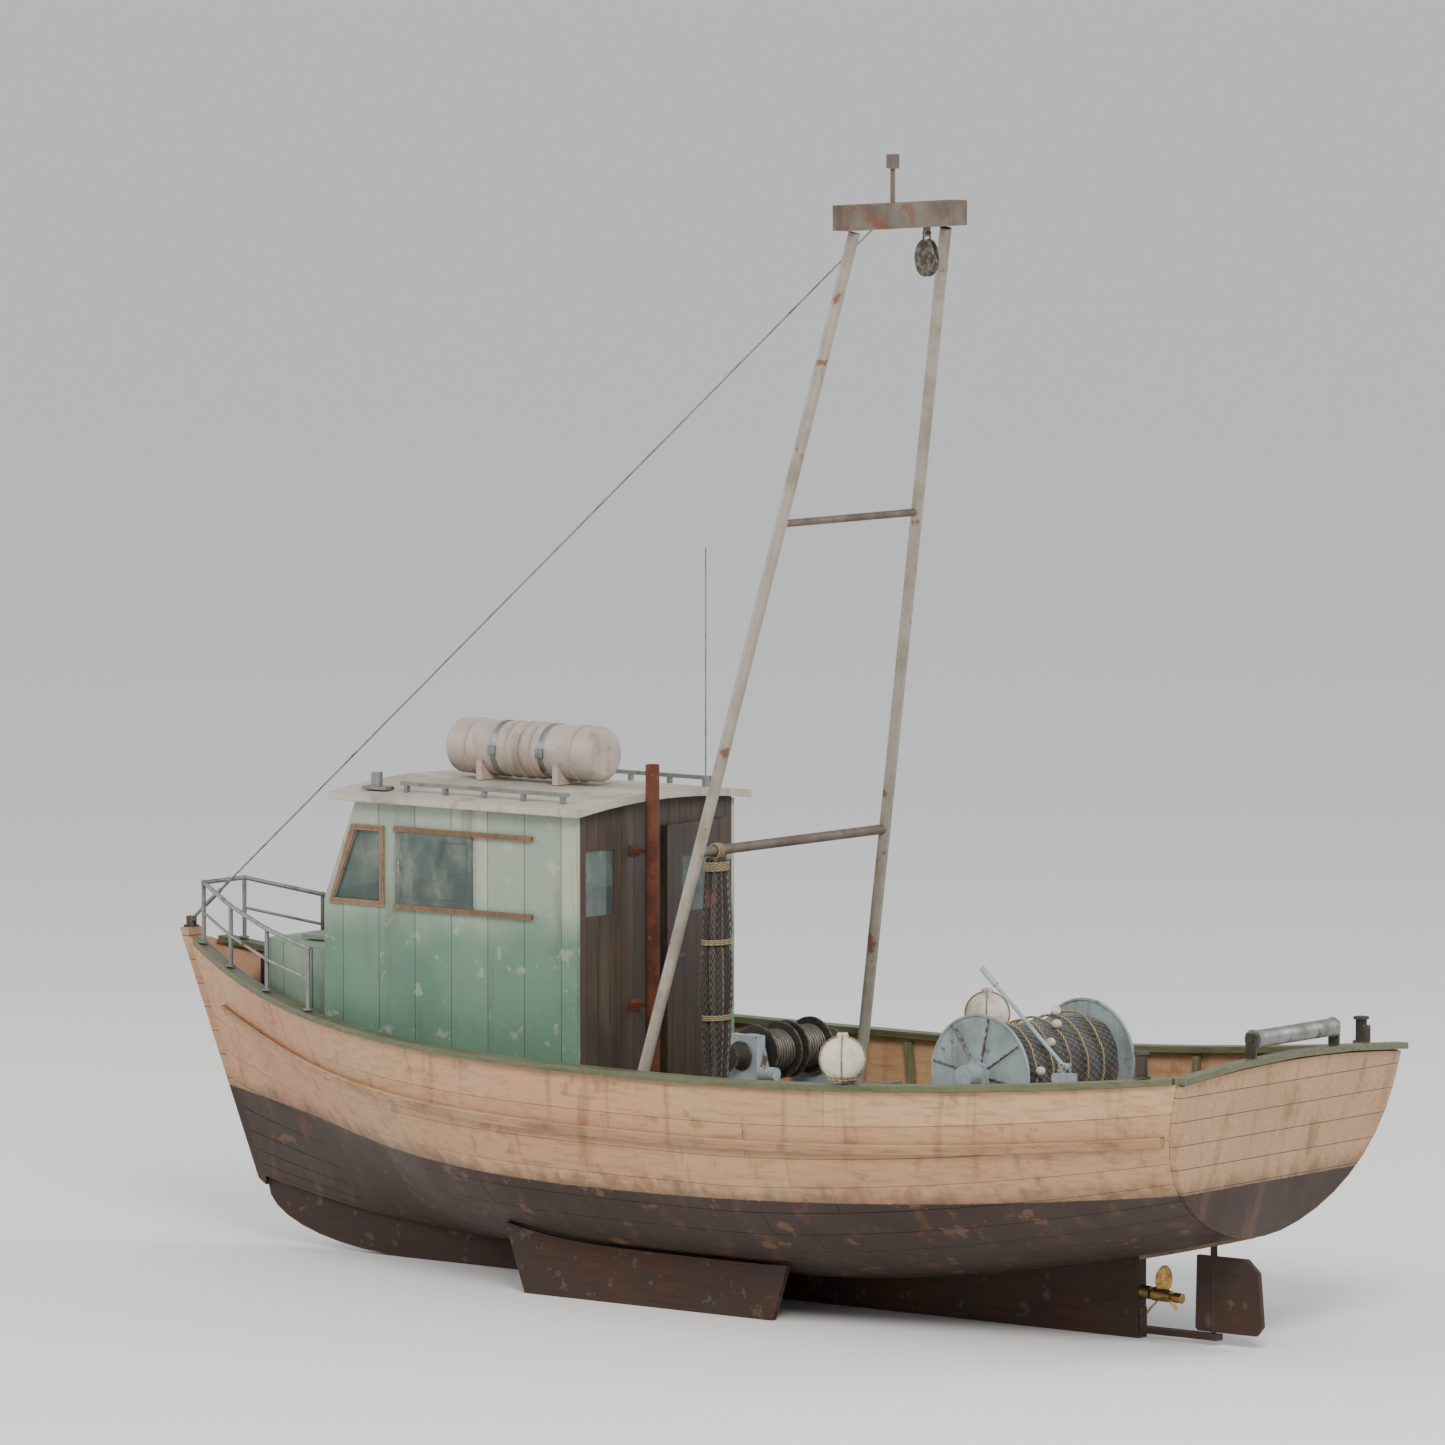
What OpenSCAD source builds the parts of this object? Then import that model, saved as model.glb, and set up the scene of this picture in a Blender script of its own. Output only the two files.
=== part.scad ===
// Small inshore wooden trawler. +X is the bow, +Y is port, +Z is up, and the
// origin is on the underside of the keel, amidships on the centreline.

/* [Hull] */
// Length of the planking at the sheer, transom to stem
hull_length = 8920; // [7500:20:10700]
// Greatest half breadth of the planking
half_beam = 1440; // [1200:10:1730]
// Half breadth of the transom at the sheer
transom_half = 1180; // [980:10:1400]
// Height of the sheer above the keel's underside amidships
sheer_low = 1550; // [1480:10:1860]
// Rise of the sheer from amidships to the stem head
bow_rise = 460; // [380:10:550]
// Rise of the sheer from amidships to the transom
stern_rise = 240; // [200:10:290]
// Depth of the keel below the planking amidships
keel_depth = 200; // [165:5:240]
// Half of the keel's and stem's sided thickness
keel_half = 44; // [36:1:53]
// Thickness of the hull planking
plank = 28; // [23:1:34]
// Strakes on each side
strakes = 10; // [8:1:12]
// Open seam between planks
seam = 2; // [1:0.5:3]
// Frames on each side
frame_count = 17; // [14:1:20]
// Moulded depth of a frame
frame_depth = 55; // [46:1:66]
// Sided thickness of a frame
frame_side = 45; // [38:1:54]

/* [Deck] */
// Height of the main deck's top
deck_z = 1130; // [1080:10:1200]
// Height of the foredeck's top
foredeck_z = 1500; // [1460:10:1560]
// Thickness of the deck planks
deck_plank = 32; // [27:1:38]
// Place of the step up to the foredeck
step_x = 2260; // [2180:10:2320]
// Width of a deck plank
deck_plank_width = 190; // [160:5:230]
// Depth of a deck beam
beam_depth = 80; // [66:2:96]
// Width of the cap rail
cap_width = 120; // [100:5:144]
// Thickness of the cap rail
cap_thick = 40; // [33:1:48]
// Depth of the rub rail's top below the sheer
rub_drop = 330; // [275:5:390]
// Height of the rub rail
rub_height = 70; // [58:2:84]
// Projection of the rub rail from the planking
rub_out = 45; // [38:1:54]

/* [Wheelhouse] */
// Aft face of the wheelhouse
house_aft = 480; // [430:10:530]
// Fore face of the wheelhouse below the windscreen
house_fore = 2600; // [2500:10:2620]
// Half of the wheelhouse's width
house_half = 820; // [760:10:840]
// Thickness of its walls
wall = 30; // [25:1:36]
// Height of the windscreen's foot
sill_z = 2450; // [2350:10:2520]
// Height of the eaves
eaves_z = 3110; // [3020:10:3300]
// How far the windscreen leans aft at the eaves
screen_rake = 270; // [230:10:320]
// Crown of the roof
roof_crown = 60; // [50:5:72]
// Thickness of the roof
roof_thick = 50; // [42:2:60]
// Roof overhang at the sides and ends
overhang = 80; // [66:2:96]
// Doorway width
door_width = 600; // [520:10:630]
// Doorway height
door_height = 1740; // [1600:10:1800]

/* [Gantry] */
// Radius of a leg tube
leg_r = 38; // [32:1:46]
// Foot of the legs along the boat
gantry_foot_x = -240; // [-280:10:-200]
// Head of the legs along the boat
gantry_head_x = -1490; // [-1750:10:-1250]
// Height of the head beam above the keel
gantry_head_z = 6890; // [5750:10:8200]
// Half spread of the legs at the head
gantry_head_half = 480; // [400:10:570]

/* [Machinery] */
// Propeller centre forward of the transom's head
prop_inset = 940; // [900:5:980]
// Height of the propeller centre
prop_z = 280; // [270:5:300]
// Rake of the propeller shaft in degrees
shaft_rake = 4; // [3.5:0.1:4.4]
// Radius of the propeller
prop_r = 190; // [158:2:200]
// Number of its blades
blades = 3; // [3:1:4]
// Radius of the propeller shaft
shaft_r = 20; // [17:1:24]
// Radial running clearance of shafts and pins
running = 0.05; // [0.03:0.01:0.09]
// Rudder stock forward of the transom's head
stock_inset = 550; // [520:5:580]
// Radius of the rudder stock
stock_r = 22; // [18:1:26]

/* [Deck gear] */
// Winch shaft's place along the boat
winch_x = -560; // [-620:10:-500]
// Winch shaft's height above the deck
winch_rise = 480; // [420:10:560]
// Net drum's place along the boat
drum_x = -2550; // [-2700:10:-2450]
// Net drum's height above the deck
drum_rise = 520; // [480:10:600]
// Radius of the net drum's flanges
drum_flange_r = 380; // [320:10:400]
// Aft edge of the fish hatch's opening
hatch_aft = -1850; // [-1900:10:-1800]
// Length of the opening
hatch_length = 850; // [720:10:900]
// Half of the opening's width
hatch_half = 430; // [360:10:500]
// Height of the hatch coamings above the deck
coaming = 220; // [180:10:260]

/* [Hidden] */

// Colours of the paint and the metals
tan_paint = [0.76, 0.58, 0.42];
dark_paint = [0.24, 0.19, 0.13];
olive = [0.35, 0.36, 0.24];
teal = [0.40, 0.55, 0.44];
pale_green = [0.66, 0.68, 0.62];
bare_wood = [0.48, 0.38, 0.28];
grey_deck = [0.55, 0.54, 0.48];
steel = [0.45, 0.45, 0.44];
bronze = [0.66, 0.50, 0.28];

// Clearance between pieces that are fastened face to face
joint_gap = 2;
// Clearance of frames behind the flat-sided planks
frame_gap = half_beam / 120;
stations = 28;
widest = 0.46;
low_point = 0.42;
heel_aft = -0.472 * hull_length - 40;
heel_fore = 0.42 * hull_length + 4;
head_aft = -hull_length / 2 - 40;
head_fore = hull_length / 2 - 40;
prop_x = head_aft + prop_inset;
stock_x = head_aft + stock_inset;
keel_aft = prop_x + 160;
run_rise = 520;
forefoot_rise = 250;
facets = 48;

// ---- Hull surface: u runs from the transom (0) to the stem (1), h from the keel (0) to the sheer (1)
function mix(a, b, t) = a + (b - a) * t;
function smooth(t) = let (c = max(0, min(1, t))) c * c * (3 - 2 * c);
function rabbet_half(u) = mix(keel_half + 4, keel_half + plank + 3, smooth((u - 0.5) / 0.25));
function sheer_half(u) = u < widest
    ? half_beam - (half_beam - transom_half) * pow((widest - u) / widest, 2)
    : half_beam - (half_beam - rabbet_half(u)) * pow((u - widest) / (1 - widest), 2.3);
function sheer_z(u) = sheer_low + (u < low_point
    ? stern_rise * pow((low_point - u) / low_point, 1.8)
    : bow_rise * pow((u - low_point) / (1 - low_point), 3.2));
function rabbet_z(u) = keel_depth + (u < 0.4 ? run_rise * pow((0.4 - u) / 0.4, 1.6)
    : u > 0.72 ? forefoot_rise * pow((u - 0.72) / 0.28, 2) : 0);
// Section fullness: 3 and 1.9 make a round bilge, 1.05 and 1 a straight flared side
function bow_share(u) = smooth((u - 0.55) / 0.4);
function bend(u) = mix(mix(2.6, 3, smooth(u / 0.4)), 1.05, bow_share(u));
function swell(u) = mix(mix(1.7, 1.9, smooth(u / 0.4)), 1, bow_share(u));
function breadth(u, h) = rabbet_half(u)
    + (sheer_half(u) - rabbet_half(u)) * pow(1 - pow(max(0, 1 - h), bend(u)), 1 / swell(u));
function heel_x(u) = mix(heel_aft, heel_fore, u);
function head_x(u) = mix(head_aft, head_fore, u);
function skin(u, h) = [mix(heel_x(u), head_x(u), h), breadth(u, h), mix(rabbet_z(u), sheer_z(u), h)];
function inward(u, h) = let (
    d = skin(u, min(h + 0.002, 1)) - skin(u, max(h - 0.002, 0)), n = norm([d.y, d.z]))
    [0, -d.z / n, d.y / n];
function lining(u, h, depth) = skin(u, h) + depth * inward(u, h);
// Girth share s, evenly spaced round the section, to height share h
function girth(s) = pow(s, 1.8);
// Height share and station of a point given by x and z, by repeated substitution
function share_at(u, z) = (z - rabbet_z(u)) / (sheer_z(u) - rabbet_z(u));
function station_at(x, z, u = 0.5, steps = 6) = steps == 0 ? u
    : let (h = share_at(u, z))
      station_at(x, z, (x - mix(heel_aft, head_aft, h))
          / (mix(heel_fore, head_fore, h) - mix(heel_aft, head_aft, h)), steps - 1);
function half_at(x, z) = let (u = station_at(x, z)) breadth(u, share_at(u, z));
function inner_half(x, z) = half_at(x, z) - plank - frame_gap;
// Point of the section at x, set in from the skin by depth, for girth share s
function section_point(x, s, depth) = let (
    z = mix(rabbet_z(station_at(x, keel_depth)), sheer_at(x), girth(s)),
    u = station_at(x, z)) let (p = lining(u, share_at(u, z), depth)) [p.y, p.z];
// Whole outline of such a section, up to girth share top
module section_outline(x, depth, top = 1) {
    steps = 14;
    half = [for (i = [0:steps]) section_point(x, mix(0.1, top, i / steps), depth)];
    polygon(concat([[0, half[0][1]]], half, [for (i = [steps:-1:0]) [-half[i][0], half[i][1]]]));
}
inside_frames = plank + frame_gap + frame_depth + 4;
// Height of the sheer at a place along the boat
function sheer_at(x) = sheer_z((x - head_aft) / (head_fore - head_aft));
function sheer_half_at(x) = sheer_half((x - head_aft) / (head_fore - head_aft));

// A closed solid through rings of points, each ring the same length
module loft(rings) {
    n = len(rings[0]);
    m = len(rings);
    polyhedron(points = [for (r = rings) each r], convexity = 6, faces = concat(
        [[for (j = [0:n - 1]) j]], [[for (j = [n - 1:-1:0]) (m - 1) * n + j]],
        [for (i = [0:m - 2], j = [0:n - 1]) let (k = (j + 1) % n)
            [i * n + j, (i + 1) * n + j, (i + 1) * n + k]],
        [for (i = [0:m - 2], j = [0:n - 1]) let (k = (j + 1) % n)
            [i * n + j, (i + 1) * n + k, i * n + k]]));
}
module both_sides() {
    children();
    mirror([0, 1, 0]) children();
}
// A round bar from a to b, its facets turned by spin
module rod(a, b, r, spin = 0) {
    d = b - a;
    translate(a) rotate([0, acos(d.z / norm(d)), atan2(d.y, d.x)]) rotate([0, 0, spin])
        cylinder(h = norm(d), r = r, $fn = facets);
}
// A plate standing across the boat, outline in Y and Z, its aft face at x
module across(x, thick) {
    translate([x, 0, 0]) rotate([90, 0, 90]) linear_extrude(thick) children();
}
// A plate standing fore and aft, outline in X and Z, its starboard face at y
module lengthwise(y, thick) {
    translate([0, y + thick, 0]) rotate([90, 0, 0]) linear_extrude(thick) children();
}
// A round bar across the boat, centred on y
module axle(x, y, z, r, length) {
    translate([x, y, z]) rotate([90, 0, 0]) cylinder(h = length, r = r, center = true, $fn = facets);
}
module block(x, y, z) {
    translate([x[0], y[0], z[0]]) cube([x[1] - x[0], y[1] - y[0], z[1] - z[0]]);
}
// The propeller's frame: +X forward along the shaft from the propeller's centre
module along_shaft(d = 0) {
    translate([prop_x, 0, prop_z]) rotate([0, -shaft_rake, 0]) translate([d, 0, 0]) children();
}
module shaft_bar(from, to, r) {
    along_shaft(from) rotate([0, 90, 0]) cylinder(h = to - from, r = r, $fn = facets);
}

// ---- Backbone
keel_heel_u = (keel_aft - heel_aft) / (heel_fore - heel_aft);
hog_fore_u = 0.64;
hog_thick = 50;
hog_half = 120;
stem_thick = 84;
stem_proud = 60;
tube_r = 30;
module keel() {
    color(dark_paint) difference() {
        lengthwise(-keel_half, 2 * keel_half) polygon(concat(
            [[keel_aft, 0], [0.28 * hull_length, 0]],
            [for (a = [10:10:80]) [mix(0.28 * hull_length, heel_fore, sin(a)),
                (rabbet_z(1) - 60) * (1 - cos(a))]],
            [[heel_fore, rabbet_z(1) - 60], [heel_fore, rabbet_z(1) + 40]],
            [for (i = [16:-1:0]) let (u = mix(keel_heel_u, 0.985, i / 16))
                [heel_x(u), rabbet_z(u) + plank + (mix(keel_heel_u, 0.985,
                    (i - 1) / 16) > hog_fore_u ? 60 : 0)]]));
        shaft_bar(-200, stern_tube_end + 200, tube_r);
    }
}
module hog_and_horn_timber() {
    lift = plank + 8;
    us = [for (i = [0:12]) mix(keel_heel_u, hog_fore_u, i / 12)];
    vs = [for (i = [0:8]) mix(0.002, keel_heel_u - 0.001, i / 8)];
    color(bare_wood) {
        difference() {
            lengthwise(-hog_half, 2 * hog_half) polygon(concat(
                [for (u = us) [heel_x(u), rabbet_z(u) + lift]],
                [for (i = [12:-1:0]) [heel_x(us[i]), rabbet_z(us[i]) + lift + hog_thick]]));
            shaft_bar(-200, hull_length / 2, tube_r + 6);
        }
        // Horn timber, which closes the run between the sternpost and the transom
        difference() {
            lengthwise(-keel_half, 2 * keel_half) polygon(concat(
                [for (u = vs) [heel_x(u), rabbet_z(u) - 24]],
                [for (i = [8:-1:0]) [heel_x(vs[i]), rabbet_z(vs[i]) + lift + hog_thick]]));
            translate([stock_x, 0, 0]) cylinder(h = deck_z, r = stock_r + 10, $fn = facets);
        }
    }
}
// Aft face of the apron behind the stem
function apron_x(z) = mix(heel_fore - 60, head_fore - 110,
    (z - rabbet_z(1) - 60) / (sheer_z(1) - 2 - rabbet_z(1) - 60));
module stem() {
    outer_half = rabbet_half(1) - 3;
    color(tan_paint) {
        lengthwise(-outer_half, 2 * outer_half) polygon([
            [heel_fore + joint_gap, rabbet_z(1) - 60],
            [heel_fore + stem_thick - 20, rabbet_z(1) - 20],
            [head_fore + stem_thick, sheer_z(1) + stem_proud],
            [head_fore + joint_gap, sheer_z(1) + stem_proud],
            [head_fore + joint_gap, sheer_z(1)],
            [heel_fore + joint_gap, rabbet_z(1)]]);
        lengthwise(-keel_half, 2 * keel_half) polygon([
            [heel_fore + joint_gap, rabbet_z(1) + 60],
            [head_fore + joint_gap, sheer_z(1) - 2],
            [head_fore - 110, sheer_z(1) - 2],
            [heel_fore - 60, rabbet_z(1) + 60]]);
    }
}
// One plank of a strake, between two stations
module hull_plank(s0, s1, i0, i1) {
    ds = seam / 2 / 2200;
    du = seam / 2 / hull_length;
    loft([for (i = [i0:i1]) let (
        u = i / stations + (i == i0 && i > 0 ? du : 0) - (i == i1 && i < stations ? du : 0),
        a = girth(s0 == 0 ? 0 : s0 + ds), b = girth(s1 == 1 ? 1 : s1 - ds))
        [skin(u, a), skin(u, b), lining(u, b, plank), lining(u, a, plank)]]);
}
module planking() {
    for (k = [0:strakes - 1]) {
        butts = [0, 8 + k % 3, 18 + (k + 1) % 3, stations];
        for (b = [0:2]) hull_plank(k / strakes, (k + 1) / strakes, butts[b], butts[b + 1]);
    }
}
module port_planking() { color(tan_paint) planking(); }
module starboard_planking() { color(tan_paint) mirror([0, 1, 0]) planking(); }

frame_us = [for (f = [0:frame_count - 1]) mix(0.045, 0.9, f / (frame_count - 1))];
under_deck = deck_z - deck_plank - joint_gap;
// Girth share at which a section reaches height z
function girth_at(u, z) = pow(share_at(u, z), 1 / 1.8);
function foot_share(u, s = 0.12) =
    lining(u, girth(s), inside_frames).y > (u > hog_fore_u ? keel_half : hog_half) + 8 ? s
    : foot_share(u, s + 0.02);
module frame_half(u) {
    du = frame_side / 2 / hull_length;
    out = plank + frame_gap;
    // The foot starts clear of the backbone, and the head stops under the deck
    s_foot = foot_share(u);
    head_lift = inside_frames * inward(u, share_at(u, under_deck)).z;
    s_head = girth_at(u, under_deck - 8 - head_lift);
    cuts = [for (k = [0:strakes]) if (k / strakes > s_foot + 0.02 && k / strakes < s_head - 0.02) k /
        strakes];
    loft([for (s = concat([s_foot], cuts, [s_head])) let (h = girth(s))
        [lining(u + du, h, out), lining(u - du, h, out),
         lining(u - du, h, out + frame_depth), lining(u + du, h, out + frame_depth)]]);
}
module frames() {
    color(bare_wood) for (u = frame_us) both_sides() frame_half(u);
}
floor_top = keel_depth + plank + 8 + hog_thick + 90;
function shaft_z(x) = prop_z + (x - prop_x) * tan(shaft_rake);

transom_thick = 45;
transom_crown = 60;
module transom() {
    // The board lies on the raked plane of the planking's aft ends
    lean = atan2(heel_aft - head_aft, sheer_z(0) - rabbet_z(0));
    stretch = 1 / cos(lean);
    side = [for (s = [0:0.1:1]) let (h = girth(s)) [breadth(0, h),
        h * (sheer_z(0) - rabbet_z(0)) * stretch]];
    top = [for (a = [1:7]) let (y = transom_half * (1 - a / 4))
        [y, side[10][1] + transom_crown * (1 - pow(y / transom_half, 2))]];
    color(tan_paint) translate([heel_aft - joint_gap, 0, rabbet_z(0)]) rotate([0, -lean, 0])
        rotate([90, 0, -90]) linear_extrude(transom_thick)
        polygon(concat(side, top, [for (i = [10:-1:0]) [-side[i][0], side[i][1]]]));
}

// ---- Decks
// Outline of a deck inside the planking, from x0 to x1
function deck_edge(x0, x1, z, steps) = [for (i = [0:steps]) let (x = mix(x0, x1, i / steps))
    [x, min(inner_half(x, z), inner_half(x, z + deck_plank)) - plank / 4]];
module deck_outline(x0, x1, z, steps) {
    e = deck_edge(x0, x1, z, steps);
    polygon(concat(e, [for (i = [steps:-1:0]) [e[i][0], -e[i][1]]]));
}
deck_aft = half_aft_x(deck_z - deck_plank);
function half_aft_x(z) = mix(heel_aft, head_aft, share_at(0, z)) + 2 * joint_gap;
foredeck_fore = apron_x(foredeck_z - deck_plank) - 4;
module main_deck() {
    color(grey_deck) translate([0, 0, deck_z - deck_plank]) difference() {
        for (k = [-9:9]) linear_extrude(deck_plank) intersection() {
            deck_outline(deck_aft, step_x - 2, deck_z - deck_plank, 24);
            translate([-hull_length, (k - 0.5) * deck_plank_width + seam / 2])
                square([2 * hull_length, deck_plank_width - seam]);
        }
        block([hatch_aft, hatch_aft + hatch_length], [-hatch_half, hatch_half], [-1, deck_plank + 1]);
    }
}
module foredeck() {
    color(grey_deck) translate([0, 0, foredeck_z - deck_plank])
        for (k = [-7:7]) linear_extrude(deck_plank) intersection() {
            deck_outline(step_x + 28, foredeck_fore, foredeck_z - deck_plank, 12);
            translate([0, (k - 0.5) * deck_plank_width + seam / 2])
                square([2 * hull_length, deck_plank_width - seam]);
        }
}
module deck_beams() {
    z1 = under_deck;
    z0 = z1 - beam_depth;
    color(bare_wood) difference() {
        union() {
            for (u = frame_us) if (u < 0.76 && abs(skin(u, 0.8).x - stock_x) > 150) {
                x = min(skin(u, share_at(u, z0)).x, skin(u, share_at(u, z1)).x) - frame_side / 2 - 24;
                y = min(inner_half(x - frame_side, z0), inner_half(x, z0)) - 10;
                block([x - frame_side, x], [-y, y], [z0, z1]);
            }
            for (x = [step_x + 330, step_x + 750, step_x + 1170, step_x + 1500]) {
                z = foredeck_z - deck_plank - joint_gap;
                y = inner_half(x + frame_side, z - beam_depth) - 10;
                block([x, x + frame_side], [-y, y], [z - beam_depth, z]);
            }
        }
        block([hatch_aft - 1, hatch_aft + hatch_length + 1], [-hatch_half - 1, hatch_half + 1], [z0 - 1,
            z1 + 1]);
        for (x = bulkhead_xs) block([x - 2, x + wall + 2], [-half_beam, half_beam], [z0 - 1, z1 + 1]);
    }
}
bulkhead_xs = [hatch_aft - 290, hatch_aft + hatch_length + 860];
bulkhead_thick = 26;
engine_fore = step_x - 400;
module bulkhead(x, top) {
    bottom = rabbet_z(station_at(x, keel_depth)) + plank + 8 + hog_thick + 4;
    across(x, bulkhead_thick) difference() {
        intersection() {
            section_outline(x + bulkhead_thick / 2, inside_frames + 8);
            translate([-half_beam, bottom]) square([2 * half_beam, top - bottom]);
        }
        if (x < engine_fore) translate([0, shaft_z(x + bulkhead_thick / 2)]) circle(r = 60, $fn = facets);
    }
}
module bulkheads() {
    color(bare_wood) {
        for (x = bulkhead_xs) bulkhead(x, under_deck);
        bulkhead(step_x - bulkhead_thick - 10, under_deck - beam_depth);
        // Riser of the step up to the foredeck
        zs = [deck_z + joint_gap, foredeck_z - 1];
        y = [for (z = zs) inner_half(step_x + 26, z) - 8];
        across(step_x + joint_gap, 24)
            polygon([[-y[0], zs[0]], [y[0], zs[0]], [y[1], zs[1]], [-y[1], zs[1]]]);
    }
}
hold_floor_z = max(620, shaft_z(bulkhead_xs[1]) + shaft_r + 40);
module hold_planks() {
    x0 = bulkhead_xs[0] + bulkhead_thick + joint_gap;
    x1 = bulkhead_xs[1] - joint_gap;
    y = [for (i = [0:8]) inner_half(mix(x0, x1, i / 8), hold_floor_z - 25) - frame_depth - 90];
    for (k = [-5:5]) translate([0, 0, hold_floor_z - 22]) linear_extrude(22) intersection() {
        polygon(concat([for (i = [0:8]) [mix(x0, x1, i / 8), y[i]]],
            [for (i = [8:-1:0]) [mix(x0, x1, i / 8), -y[i]]]));
        translate([-hull_length / 2, (k - 0.5) * 180 + 3]) square([hull_length, 174]);
    }
}
function floor_x(u) = heel_x(u) - frame_side / 2 - 12 - frame_side;
module floor_timber(x) {
    hog_top = rabbet_z((x - heel_aft) / (heel_fore - heel_aft)) + plank + 8 + hog_thick + 4;
    across(x, frame_side) difference() {
        intersection() {
            section_outline(x + frame_side / 2, plank + frame_gap + 6, 0.6);
            translate([-half_beam, 0]) square([2 * half_beam, floor_top]);
        }
        translate([-hog_half - 6, 0]) square([2 * hog_half + 12, hog_top]);
        translate([0, shaft_z(x + frame_side / 2)]) circle(r = 50, $fn = facets);
    }
}
module floors_and_bearers() {
    color(bare_wood) {
        for (u = frame_us) if (u > 0.3 && u < hog_fore_u)
            if (min([for (b = bulkhead_xs) abs(floor_x(u) - b)]) > frame_side + 30)
                floor_timber(floor_x(u));
        hold_planks();
        engine_bearers();
    }
}
// Ring of a rail that follows the sheer: inboard and outboard of the planking, above and below
function sheer_ring(u, inb, outb, z0, z1) = let (p = skin(u, 1))
    [[p.x, p.y + outb, p.z + z0], [p.x, p.y + outb, p.z + z1],
     [p.x, p.y - inb, p.z + z1], [p.x, p.y - inb, p.z + z0]];
// Height of the cap rail's underside above the sheer, clear of the flared planking's inner edge
function cap_lift(u) = joint_gap + plank * max(0, inward(u, 1).z);
function cap_top(u) = sheer_z(u) + cap_lift(u) + cap_thick;
function sheer_share(x) = (x - head_aft) / (head_fore - head_aft);
module cap_rail() {
    outb = 30;
    color(olive) {
        both_sides() loft([for (i = [0:stations]) let (u = max(0.002, min(0.985, i / stations)))
            sheer_ring(u, cap_width - outb, outb, cap_lift(u), cap_lift(u) + cap_thick)]);
        // Taffrail over the transom
        x = head_aft - transom_thick - 40;
        for (k = [0:3]) let (ys = [for (j = [0:1]) (transom_half + 25) * ((k + j) / 2 - 1)],
            zs = [for (v = ys) sheer_z(0) + transom_crown * (1 - pow(min(1, abs(v) / transom_half),
                2)) + 4])
            across(x, transom_thick + 36) polygon([[ys[0] + 1, zs[0]], [ys[1] - 1, zs[1]],
                [ys[1] - 1, zs[1] + cap_thick], [ys[0] + 1, zs[0] + cap_thick]]);
    }
}
module rub_rails() {
    color(tan_paint) both_sides() loft([for (i = [0:stations]) let (
        u = mix(0.004, 0.965, i / stations),
        drop = function (d) 1 - d / (sheer_z(u) - rabbet_z(u)),
        a = skin(u, drop(rub_drop + rub_height)), b = skin(u, drop(rub_drop)))
        [[a.x, a.y + 4, a.z], [a.x, a.y + rub_out - 12, a.z + 6], [b.x, b.y + rub_out, b.z - 12],
         [b.x, b.y + rub_out - 14, b.z], [b.x, b.y + 2, b.z]]]);
}
stanchion_us = [for (f = [1:frame_count - 2]) mix(0.045, 0.9, (f + 0.5) / (frame_count - 1))];
module bulwark_stanchions() {
    color(tan_paint) for (u = stanchion_us) both_sides() {
        base = skin(u, 1).x > step_x - 60 ? foredeck_z : deck_z;
        h0 = share_at(u, base + joint_gap);
        du = frame_side / 2 / hull_length;
        out = plank + frame_gap;
        if (abs(skin(u, 1).x - gantry_foot_x) > 160) loft([for (t = [0, 0.34, 0.67, 1])
            let (h = mix(h0, 0.982, t))
            [lining(u + du, h, out), lining(u - du, h, out),
             lining(u - du, h, out + 40), lining(u + du, h, out + 40)]]);
    }
}
// Fins on the turn of the bilge that hold the boat upright when it takes the ground
bilge_thick = 44;
module bilge_keels() {
    x0 = -1250;
    x1 = 1050;
    color(dark_paint) both_sides() translate([0, bilge_share * half_beam, 0])
        lengthwise(-bilge_thick / 2, bilge_thick) polygon(concat(
            [[x0 + 120, 0], [x1 - 160, 0]],
            [for (i = [12:-1:0]) let (x = mix(x0, x1, i / 12)) [x, bottom_at(x) - 12]]));
}
bilge_share = 0.58;
// Height of the planking's underside at the bilge keel's outer face
function bottom_at(x, lo = 0.001, hi = 0.6, steps = 16) = let (u = (x - heel_aft) / (heel_fore - heel_aft),
    h = (lo + hi) / 2, y = bilge_share * half_beam - bilge_thick / 2)
    steps == 0 ? mix(rabbet_z(u), sheer_z(u), lo)
    : breadth(u, h) > y ? bottom_at(x, lo, h, steps - 1) : bottom_at(x, h, hi, steps - 1);
// Steel shoe that runs aft under the propeller and carries the rudder's heel
shoe_thick = 40;
heel_z = 36;
module skeg_shoe() {
    color(dark_paint) difference() {
        union() {
            block([stock_x - 45, keel_aft - joint_gap], [-35, 35], [heel_z - 4, heel_z + shoe_thick - 4]);
            block([keel_aft - joint_gap - 12, keel_aft - joint_gap], [-35, 35], [2, 190]);
        }
        translate([stock_x, 0, 0]) cylinder(h = 200, r = 14 + running, $fn = facets);
    }
}

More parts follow.
